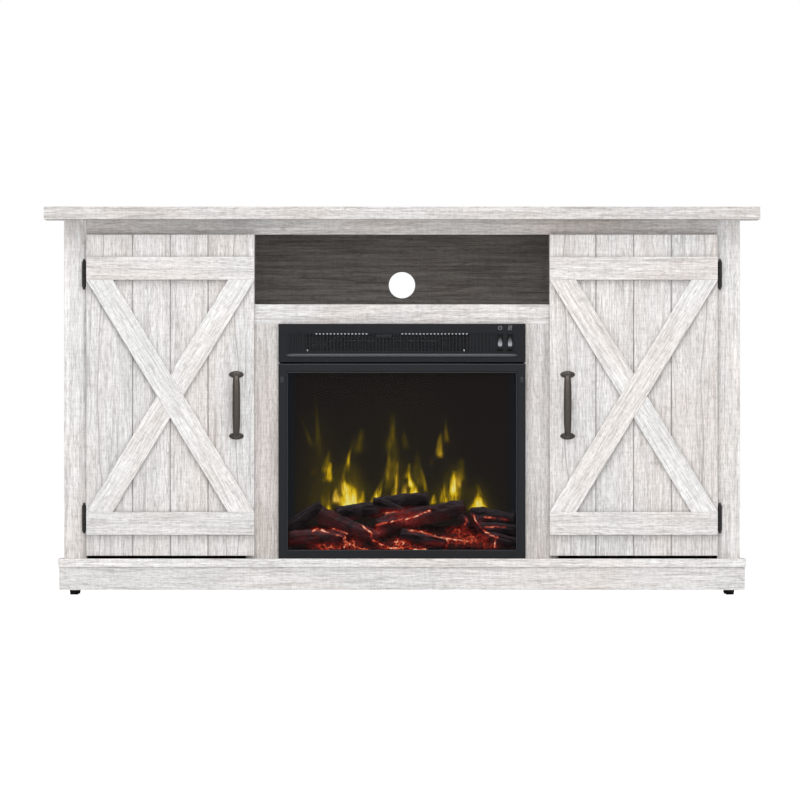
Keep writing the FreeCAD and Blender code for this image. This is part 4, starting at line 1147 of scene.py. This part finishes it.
@dataclass
class FlamePicture:
    """The acrylic screen behind the logs, with flames thrown on it from the slotted rotor behind."""

    flames: tuple[Flame, ...] = (
        Flame(-98, 166, 20, 50, -3, 1.1), Flame(-107, 166, 7, 56, 4, 0.72), Flame(-92, 172, 6, 34, 4, 0.8),
        Flame(-78, 170, 6, 30, 2, 0.66), Flame(-126, 178, 9, 26, 3, 0.62, 0.5),
        Flame(-141, 164, 4, 18, 0, 0.85), Flame(-142, 220, 8, 34, 4, 0.95), Flame(-145, 238, 8, 38, 0, 0.6),
        Flame(-60, 170, 7, 50, 20, 0.74), Flame(-52, 172, 5, 40, 14, 0.7), Flame(-16, 178, 7, 34, 2, 0.68),
        Flame(-12, 182, 3.4, 74, 3, 0.5, 0.35), Flame(-26, 228, 5, 50, -3, 0.36),
        Flame(23, 193, 8, 25, 1, 1.12), Flame(17, 208, 5, 28, -5, 0.84), Flame(10, 226, 6, 28, 4, 0.66),
        Flame(4, 192, 6, 22, 3, 0.5, 0.4), Flame(58, 174, 8, 20, 6, 0.56), Flame(96, 176, 15, 30, 4, 0.62),
        Flame(99, 196, 7, 44, -2, 0.86), Flame(108, 208, 5, 28, 2, 0.6, 0.5), Flame(80, 178, 8, 40, 2, 0.5),
        Flame(72, 268, 8, 44, -3, 0.7, 0.2), Flame(86, 294, 7, 46, -2, 0.46, 0.3),
        Flame(57, 250, 3, 14, 0, 0.45, 1.0), Flame(146, 164, 17, 24, -2, 0.84),
        Flame(145, 172, 9, 40, 2, 0.5), Flame(-83, 276, 12, 46, 2, 0.32), Flame(-22, 282, 12, 72, 4, 0.32),
        Flame(7, 282, 8, 34, 0, 0.28), Flame(-104, 246, 4, 58, 10, 0.44),
        Flame(-113, 196, 5, 56, 4, 0.34, 0.3), Flame(-170, 232, 4, 16, 0, 0.3, 0.8),
        Flame(-176, 292, 4, 60, -22, 0.25), Flame(-160, 286, 5, 110, -8, 0.22),
        Flame(-20, 214, 18, 90, 4, 0.24), Flame(30, 214, 14, 64, 4, 0.24), Flame(46, 198, 4, 46, -6, 0.44),
        Flame(112, 222, 9, 44, -2, 0.32), Flame(-100, 196, 34, 80, 2, 0.3), Flame(98, 190, 34, 70, 0, 0.28),
        Flame(-146, 160, 14, 60, 0, 0.3), Flame(0, 180, 60, 90, 0, 0.16), Flame(150, 160, 36, 70, 0, 0.22),
        Flame(-150, 160, 60, 200, -10, 0.17), Flame(-20, 160, 190, 260, 0, 0.075))
    spacing: float = 2.05 * MM
    wing: float = 206.0             # beyond this X, in mm, the picture ends in a plain dark border
    strength: float = 1.55
    foot_fade: tuple[float, float] = (128.0, 166.0)     # Z in mm over which the haze comes in

    def heat(self, x: np.ndarray, z: np.ndarray) -> tuple[np.ndarray, np.ndarray]:
        """Brightness and redness of the picture.

        A tongue's brightness falls off as a bell across, about a line that leans with the height; upward it
        rises from nothing over a tenth of its height and fades with the root of what is left. Noise drawn
        out upward bends the line and breaks it into licks.

        Args:
            x: places' X in mm.
            z: places' Z in mm.

        Returns:
            Brightness and redness, 0 to about 1.
        """
        flat = np.stack([x / 30, np.full(x.shape, 4.4), z / 62], axis=-1)
        bend = 11.0 * layered_noise(flat, 91, 4)
        licks = layered_noise(np.stack([x / 8, np.full(x.shape, 1.7), z / 26], axis=-1), 37, 4)
        heat, red = np.zeros(x.shape), np.zeros(x.shape)
        for flame in self.flames:
            rise = (z - flame.z) / flame.height
            body = np.clip((rise + 0.22) / 0.3, 0, 1) * np.sqrt(np.clip(1 - rise, 0, 1))
            narrowing = flame.half * (0.35 + 0.65 * np.clip(1 - rise, 0, 1.2))
            middle = flame.x + flame.lean * rise + bend * np.clip(rise, 0, 1) * min(flame.half / 6, 1.5)
            own = flame.bright * body * np.exp(-np.abs((x - middle) / narrowing) ** 2.4)
            own *= 1 + (0.95 if flame.half < 20 else 0.3) * licks
            red = np.where(own > heat, flame.red, red)
            heat = 1 - (1 - np.clip(heat, 0, 1)) * (1 - np.clip(own, 0, 1))
        heat *= np.clip((z - self.foot_fade[0]) / (self.foot_fade[1] - self.foot_fade[0]), 0, 1)
        heat[np.abs(x) > self.wing] = 0
        return heat, red

    def material(self) -> bpy.types.Material:
        """Frosted acrylic: dark smoke brown, with the flames' colour from "blaze" and "redness"."""
        paint = Paint("frosted_flame_screen")
        drawn = paint.mapped(paint.place, Scale=(210.0, 1.0, 42.0))
        gain = paint.remap(paint.noise(drawn, 1.0, 4.0, Distortion=1.2), 0.3, 0.7, 0.72, 1.22)
        lit = paint.math("MULTIPLY", paint.stored("blaze"), gain)
        yellow = paint.ramp(lit, (0.0, "#181411"), (0.10, "#221C10"), (0.26, "#41380A"), (0.46, "#80680A"),
                            (0.62, "#CFA80E"), (0.76, "#F7D320"), (0.95, "#FFF28A"))
        orange = paint.ramp(lit, (0.0, "#181411"), (0.2, "#3A2A10"), (0.5, "#8A6A2A"), (0.8, "#E0B04A"),
                            (1.0, "#FFE0A0"))
        colour = paint.mix(paint.stored("redness"), yellow, orange)
        away = paint.math("ABSOLUTE", paint.axis("X"))
        border = paint.remap(away, (self.wing - 1) * MM, (self.wing + 2) * MM)
        colour = paint.mix(border, colour, "#14181C")
        return paint.done({"Base Color": "#0B0A0A", "Roughness": 0.5, "Emission Color": colour,
                           "Emission Strength": self.strength, "Specular IOR Level": 0.1})

    def build(self) -> None:
        """Makes the screen in place of the plain one, the same size, with the picture on its front."""
        low, high = extent("flame_screen")
        x = np.linspace(low[0], high[0], int((high[0] - low[0]) / self.spacing))
        z = np.linspace(low[2], high[2], int((high[2] - low[2]) / self.spacing))
        flat_x, flat_z = np.meshgrid(x, z)
        front = np.stack([flat_x, np.full(flat_x.shape, low[1]), flat_z], axis=-1)
        back = np.stack([flat_x, np.full(flat_x.shape, high[1]), flat_z], axis=-1)
        piece = make_piece("flame_picture", [slab(front, back)], self.material(),
                           smooth=False)
        heat, red = self.heat(flat_x / MM, flat_z / MM)
        store(piece, "blaze", np.concatenate([heat.ravel(), np.zeros(heat.size)]))
        store(piece, "redness", np.concatenate([red.ravel(), np.zeros(red.size)]))
        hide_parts("flame_screen")


# ---------------------------------------------------------------- insert
def ribbon(points: np.ndarray, half: float, lift: float, face: float) -> Shell:
    """A thin flat line of even width that stands on an upright face.

    Each place on the run gets four corners: half a width either side of it, on the face and lifted off it.

    Args:
        points: the run, n by 2 as X, Z in metres.
        half: half its width.
        lift: its thickness off the face.
        face: the face's Y.

    Returns:
        Vertices and faces.
    """
    ahead, behind = np.roll(points, -1, axis=0), np.roll(points, 1, axis=0)
    ahead[-1], behind[0] = points[-1], points[0]
    way = ahead - behind
    way /= np.linalg.norm(way, axis=1, keepdims=True)
    out = np.stack([-way[:, 1], way[:, 0]], axis=1) * half
    rings = np.empty((len(points), 4, 3))
    for corner, (side, depth) in enumerate(((1, 0.0), (1, lift), (-1, lift), (-1, 0.0))):
        rings[:, corner, 0] = points[:, 0] + side * out[:, 0]
        rings[:, corner, 1] = face - depth
        rings[:, corner, 2] = points[:, 1] + side * out[:, 1]
    last = (len(points) - 1) * 4
    faces = grid_quads(len(points), 4, closed=True).tolist()
    faces += [[3, 2, 1, 0], [last, last + 1, last + 2, last + 3]]
    return rings.reshape(-1, 3), [face[::-1] for face in faces]


def pad(middle: tuple[float, float], half: tuple[float, float], face: float, lift: float,
        crown: float = 0.0, power: float = 5.0) -> Shell:
    """A small raised pad with a rounded-rectangle outline and a soft edge.

    The outline is a superellipse: its X is the half-width times the signed 2/power root of cos, its Z the
    same with sin. Rings shrink towards the middle as they rise, and the top crowns by a little.

    Args:
        middle: its X and Z.
        half: its half-width and half-height.
        face: Y of the face that it stands on.
        lift: its height off the face.
        crown: extra height at its middle.
        power: how square the outline is.

    Returns:
        Vertices and faces.
    """
    turn = np.linspace(0, 2 * np.pi, 40, endpoint=False)
    cos, sin = np.cos(turn), np.sin(turn)
    ring_x = np.sign(cos) * np.abs(cos) ** (2 / power) * half[0]
    ring_z = np.sign(sin) * np.abs(sin) ** (2 / power) * half[1]
    least = min(half)
    inset = np.array([0.0, 0.0, 0.06, 0.16, 0.3, 0.6, 0.9]) * least
    rise = np.array([0.0, 0.7, 0.92, 1.0, 1.0, 1.0, 1.0]) * lift
    rise += crown * (1 - (1 - inset / least) ** 2)
    centres = np.stack([np.full(7, middle[0]), face - rise, np.full(7, middle[1])], axis=1)
    share_x, share_z = 1 - inset / half[0], 1 - inset / half[1]
    across = share_x[:, None, None] * ring_x[None, :, None] * np.array([1.0, 0, 0])
    over = share_z[:, None, None] * ring_z[None, :, None] * np.array([0, 0, 1.0])
    return tube(centres, across, over)


@dataclass
class Insert:
    """The fireplace insert: its sheet metal, mouldings, switches and works. Names ending in _mm are in mm."""

    rockers: tuple[tuple[str, Body], ...] = (("power_rocker", Body.POWER_ROCKER),
                                             ("heat_rocker", Body.HEAT_ROCKER))
    rocker_lean: float = 4.1 * MM       # how far the upper half lies behind the lower half's raised edge
    rocker_lower: float = 14.1 * MM     # height of the lower half, from the bend to its raised edge
    lens_half: tuple[float, float] = (4.1 * MM, 8.4 * MM)
    lens_eaves: float = 0.5             # where a lens starts to narrow, as a share of its height
    header_step: float = 2.2 * MM       # how far the header's face lies behind its rounded lip
    icon_level: float = 511.6 * MM
    icon_half: float = 4.4 * MM
    icon_lift: float = 0.12 * MM
    clip_level: float = 412.0 * MM
    clip_out: float = 230.0 * MM
    clip_half: tuple[float, float] = (3.6 * MM, 5.6 * MM)
    tab_place: tuple[float, float] = (-34.5 * MM, 495.5 * MM)
    tab_half: tuple[float, float] = (15.5 * MM, 3.3 * MM)
    screw_rise: float = 2.6 * MM        # of a screw's middle over the grille's lower edge
    screw_half: float = 1.7 * MM
    screw_places_mm: tuple[float, float] = (-181.0, 119.0)
    lip_level: float = 459.4 * MM
    lip_half: float = 222.4 * MM
    lip_section: tuple[float, float] = (1.9 * MM, 3.1 * MM)     # half its depth and half its height
    slot_level: float = 499.9 * MM
    slot_half: float = 1.7 * MM
    louvre_level: float = 483.2 * MM
    louvre_half: float = 16.6 * MM
    louvre_pitch_mm: float = 6.86
    louvre_span_mm: tuple[float, float] = (-214.5, 176.0)       # all louvres, but for the outlet between
    outlet_span_mm: tuple[float, float] = (-189.0, 131.0)
    top_span_mm: tuple[float, float] = (-164.0, 127.0)          # the upper slots, but for the tab between
    tab_span_mm: tuple[float, float] = (-66.0, -1.0)
    highlight_lift: float = 0.1 * MM
    wire_pitch: float = 2.6 * MM
    wire_half: float = 0.55 * MM
    wire_lift: float = 0.3 * MM

    def build(self) -> None:
        """Dresses every node of the insert and adds its small details."""
        self.dress_shell()
        self.dress_works()
        self.make_lenses()
        self.make_icons()
        self.make_clips()
        self.make_grille_marks()
        self.make_lip()
        self.make_louvres()
        self.make_painted_edge_highlights()
        self.make_guard_mesh()
        LogPile().build(CHARRED_LOG.material())
        EmberBed().build(EMBER.material())
        FlamePicture().build()

    def dress_shell(self) -> None:
        """Dresses the casing, mouldings and glass."""
        coat, plastic = POWDER_COAT.material(), BLACK_ABS.material()
        for node in ("insert_casing", "insert_rear_cover", "glass_frame", "outlet_grille"):
            dress(node, coat)
        for node in ("insert_header", "rocker_bezels"):
            dress(node, plastic)
        rocker = ROCKER_ABS.material()
        for node, _ in self.rockers:
            dress(node, rocker)
        dress("glass_pane", smoked_glass())
        dress("cord_gland", NYLON.material())
        dress("insert_brackets", ZINC.material())

    def dress_works(self) -> None:
        """Dresses the lights, rotor, fan, heater and board."""
        motor, foil = MOTOR_STEEL.material(), FOIL.material()
        works = {"rotor_motor": motor, "blower_motor": motor, "flame_rotor": foil,
                 "blower_impeller": FAN_METAL.material(), "blower_housing": GALVANISED.material(),
                 "heating_element": MICA.material(), "light_boards": BOARD_GREEN.material()}
        works["control_board"] = works["light_boards"]
        for node, material in works.items():
            dress(node, material)

    def make_lenses(self) -> None:
        """Frosted lens on the upper half of each rocker.

        It narrows to a blunt tip: from the eaves up, each point comes in toward the middle line, by half at
        the tip. Below the bend it leans out with the rocker.
        """
        for node, body in self.rockers:
            low, high = extent(node)
            level = (low[2] + high[2]) / 2
            middle = ((low[0] + high[0]) / 2, level - 0.2 * MM)
            vertices, faces = pad(middle, self.lens_half, 0.0, 0.5 * MM, 0.2 * MM, power=4.0)
            foot, tip = vertices[:, 2].min(), vertices[:, 2].max()
            rise = (vertices[:, 2] - foot) / (tip - foot)
            narrow = np.clip((rise - self.lens_eaves) / (1 - self.lens_eaves), 0, 1)
            vertices[:, 0] += (middle[0] - vertices[:, 0]) * 0.5 * narrow
            bent = np.clip((level - vertices[:, 2]) / self.rocker_lower, 0, 1)
            vertices[:, 1] += low[1] + self.rocker_lean * (1 - bent)
            make_piece(f"{node}_lens", [(vertices, faces)], frosted_lens(foot, tip), body)

    def make_icons(self) -> None:
        """A power mark and a heat mark above the switches: generic signs, printed thick."""
        face = extent("insert_header")[0][1] + self.header_step
        material = PRINT.material()
        for (node, _), draw in zip(self.rockers, (self.power_mark, self.heat_mark)):
            low, high = extent(node)
            mark = draw((low[0] + high[0]) / 2, face)
            make_piece(f"{node}_mark", mark, material, smooth=False)

    def power_mark(self, x: float, face: float) -> list[Shell]:
        """An open ring with an upright bar in its gap.

        Args:
            x: its middle X.
            face: Y of the header's face.

        Returns:
            The shells.
        """
        turn = np.radians(np.linspace(125, 415, 30))
        ring = np.stack([x + self.icon_half * 0.8 * np.cos(turn),
                         self.icon_level + self.icon_half * 0.8 * np.sin(turn)], axis=1)
        bar = np.array([[x, self.icon_level], [x, self.icon_level + self.icon_half]])
        return [ribbon(run, 0.45 * MM, self.icon_lift, face) for run in (ring, bar)]

    def heat_mark(self, x: float, face: float) -> list[Shell]:
        """Three rising waves: each X is a sine of the height.

        Args:
            x: its middle X.
            face: Y of the header's face.

        Returns:
            The shells.
        """
        height = np.linspace(-1, 1, 18)
        runs = [np.stack([x + step * 2.6 * MM + 0.7 * MM * np.sin(height * np.pi),
                          self.icon_level + height * self.icon_half], axis=1) for step in (-1, 0, 1)]
        return [ribbon(run, 0.4 * MM, self.icon_lift, face) for run in runs]

    def make_clips(self) -> None:
        """Two pressed spring clips that hold the glass frame, one at each side."""
        face = extent("glass_frame")[0][1]
        clips = [pad((sign * self.clip_out, self.clip_level), self.clip_half, face, 1.2 * MM, 0.3 * MM)
                 for sign in (-1, 1)]
        make_piece("glass_clips", clips, CLIP.material())

    def make_grille_marks(self) -> None:
        """The grille's small tab and the two screw heads at its lower corners."""
        low, _ = extent("outlet_grille")
        tab = pad(self.tab_place, self.tab_half, low[1], 0.5 * MM, 0.1 * MM, power=8.0)
        make_piece("grille_tab", [tab], POWDER_COAT.material())
        level, half = low[2] + self.screw_rise, (self.screw_half, self.screw_half)
        heads = [pad((x * MM, level), half, low[1], 0.5 * MM, 0.5 * MM, power=2.0)
                 for x in self.screw_places_mm]
        make_piece("grille_screw_heads", heads, ZINC.material())

    def make_lip(self) -> None:
        """The smooth lip under the outlet, coloured paler as a painted highlight.

        It is a rod whose section is an ellipse, drawn in at each end by the root of one less the 40th power
        of how far along it is from the middle.
        """
        along = np.linspace(-1, 1, 161)
        front = extent("insert_header")[0][1] + 1.5 * MM
        centres = np.stack([along * self.lip_half, np.full(along.shape, front),
                            np.full(along.shape, self.lip_level)], axis=1)
        drawn_in = np.sqrt(np.clip(1 - along ** 40, 0, 1))[:, None, None] * 0.98 + 0.02
        turn = np.linspace(0, 2 * np.pi, 28, endpoint=False)[None, :, None]
        across = drawn_in * np.cos(turn) * np.array([0, self.lip_section[0], 0])
        over = drawn_in * np.sin(turn) * np.array([0, 0, self.lip_section[1]])
        make_piece("header_lip_painted_highlight", [tube(centres, across, over)], LIP_HIGHLIGHT_COAT.material())

    def places(self, span: tuple[float, float], gap: tuple[float, float]) -> list[float]:
        """Evenly pitched X places in mm over a span, but for a gap in it.

        Args:
            span: where they start and end.
            gap: where none are.

        Returns:
            The places.
        """
        return [x for x in np.arange(*span, self.louvre_pitch_mm) if x < gap[0] or x > gap[1]]

    def make_louvres(self) -> None:
        """The closed louvres beside the outlet, and the slots along its top, coloured pale as painted
        highlights.
        """
        low, high = extent("outlet_grille")
        half = (self.slot_half, self.louvre_half)
        louvres = [pad((x * MM, self.louvre_level), half, high[1], 1.3 * MM, power=8.0)
                   for x in self.places(self.louvre_span_mm, self.outlet_span_mm)]
        make_piece("closed_louvres", louvres, BLACK_ABS.material())
        slots = [pad((x * MM, self.slot_level), (self.slot_half, 1.1 * MM), low[1], 0.3 * MM, power=3.0)
                 for x in self.places(self.top_span_mm, self.tab_span_mm)]
        make_piece("outlet_slot_painted_highlights", slots, SLOT_HIGHLIGHT.material())

    def make_painted_edge_highlights(self) -> None:
        """Painted highlights: pale lines along the glass frame's top edge and round its window."""
        low, high = extent("glass_frame")
        top = high[2] / MM - 0.7
        runs = [(0.55, (-234.0, top), (234.0, top)), (0.4, (-219.6, 426.2), (219.6, 426.2)),
                (0.4, (-219.8, 425.0), (-219.8, 86.0)), (0.4, (219.8, 86.0), (219.8, 425.0)),
                (0.4, (219.6, 85.2), (-219.6, 85.2))]
        lines = [ribbon(np.array([start, end]) * MM, half * MM, self.highlight_lift, low[1])
                 for half, start, end in runs]
        make_piece("frame_edge_painted_highlights", lines, EDGE_HIGHLIGHT_COAT.material(), smooth=False)

    def make_guard_mesh(self) -> None:
        """Woven steel guard behind the outlet: even runs both ways, the level ones just behind."""
        low, high = extent("outlet_grille")
        element_low, element_high = extent("heating_element")
        depth = high[1] + 3.2 * MM
        left, right = element_low[0] + 2 * MM, element_high[0] - 2 * MM
        base, top = low[2] + 1.5 * MM, high[2] - 1.5 * MM
        wires = [ribbon(np.array([[x, base], [x, top]]), self.wire_half, self.wire_lift, depth)
                 for x in np.arange(left, right, self.wire_pitch)]
        behind = depth + self.wire_lift
        wires += [ribbon(np.array([[left, z], [right, z]]), self.wire_half, self.wire_lift, behind)
                  for z in np.arange(base, top, self.wire_pitch)]
        make_piece("outlet_guard_mesh", wires, POWDER_COAT.material(), smooth=False)


# ---------------------------------------------------------------- studio
@dataclass
class Studio:
    """Pale floor, even white surround, and large soft lights above and in front."""

    floor_half: float = 40.0
    target: tuple[float, float, float] = (-0.0038, 0.0, 0.3732)
    distance: float = 51.26
    lens: float = 1200.0
    surround: float = 0.51

    def build(self) -> None:
        """Makes the floor, lights, surround and camera."""
        bpy.context.scene.view_settings.view_transform = "Standard"
        self.make_floor()
        self.make_surround()
        self.make_lights()
        self.make_camera()

    def make_floor(self) -> None:
        """A wide plain floor just under the feet."""
        paint = Paint("pale_floor_paint")
        tone = paint.ramp(paint.noise(paint.place, 0.8, 2.0), (0.3, "#FAFAFA"), (0.7, "#FFFFFF"))
        bright = paint.remap(add(paint.tree, "LightPath").outputs["Is Camera Ray"], 0.0, 1.0, 0.0, 0.8)
        material = paint.done({"Base Color": tone, "Roughness": 0.9, "Specular IOR Level": 0.1,
                               "Emission Color": "#FFFFFF", "Emission Strength": bright})
        half = self.floor_half
        mesh = bpy.data.meshes.new("floor")
        corners = [(-half, -half, 0), (half, -half, 0), (half, half, 0), (-half, half, 0)]
        mesh.from_pydata(corners, [], [[0, 1, 2, 3]])
        mesh.materials.append(material)
        floor = bpy.data.objects.new("floor", mesh)
        bpy.context.scene.collection.objects.link(floor)

    def make_surround(self) -> None:
        """White where the camera sees it, dimmer as a light."""
        world = bpy.data.worlds.new("surround")
        bpy.context.scene.world = world
        world.use_nodes = True
        tree = world.node_tree
        tree.nodes.clear()
        seen = add(tree, "LightPath").outputs["Is Camera Ray"]
        strength = add(tree, "MapRange", {"Value": seen, "To Min": self.surround, "To Max": 1.0}).outputs[0]
        light = add(tree, "Background", {"Color": "#FFFFFF", "Strength": strength}).outputs[0]
        add(tree, "OutputWorld", {"Surface": light})

    def make_lights(self) -> None:
        """A broad key above the front, and a level one that reaches into the open bay."""
        self.make_light("key", (0.0, -2.5, 3.7), 2.6, 102.0)
        self.make_light("front", (0.0, -5.0, 1.5), 1.5, 34.0)

    def make_light(self, name: str, place: tuple[float, float, float], size: float, power: float) -> None:
        """One square soft light that faces the middle of the object.

        Args:
            name: its name.
            place: where it stands, in metres.
            size: its side in metres.
            power: its power in watts.
        """
        light = bpy.data.lights.new(name, "AREA")
        light.shape, light.size, light.energy = "SQUARE", size, power
        holder = bpy.data.objects.new(name, light)
        aim = np.array(self.target) - np.array(place)
        yaw = math.atan2(aim[1], aim[0]) - math.pi / 2
        pitch = math.atan2(aim[2], math.hypot(aim[0], aim[1])) + math.pi / 2
        holder.location = place
        holder.rotation_euler = (pitch, 0.0, yaw)
        bpy.context.scene.collection.objects.link(holder)

    def make_camera(self) -> None:
        """A long lens level with the middle, square to the front."""
        camera = bpy.data.cameras.new("camera")
        camera.lens, camera.sensor_width, camera.clip_end = self.lens, 36.0, 200.0
        holder = bpy.data.objects.new("camera", camera)
        holder.location = (self.target[0], -self.distance, self.target[2])
        holder.rotation_euler = (math.pi / 2, 0.0, 0.0)
        bpy.context.scene.collection.objects.link(holder)
        bpy.context.scene.camera = holder


def main() -> None:
    """Builds the object and its studio."""
    Studio().build()
    Cabinet().build()
    bronze = BRONZE.material()
    Handle("left", Body.LEFT_DOOR).build(bronze)
    Handle("right", Body.RIGHT_DOOR).build(bronze)
    Insert().build()


if __name__ == "__main__":
    main()
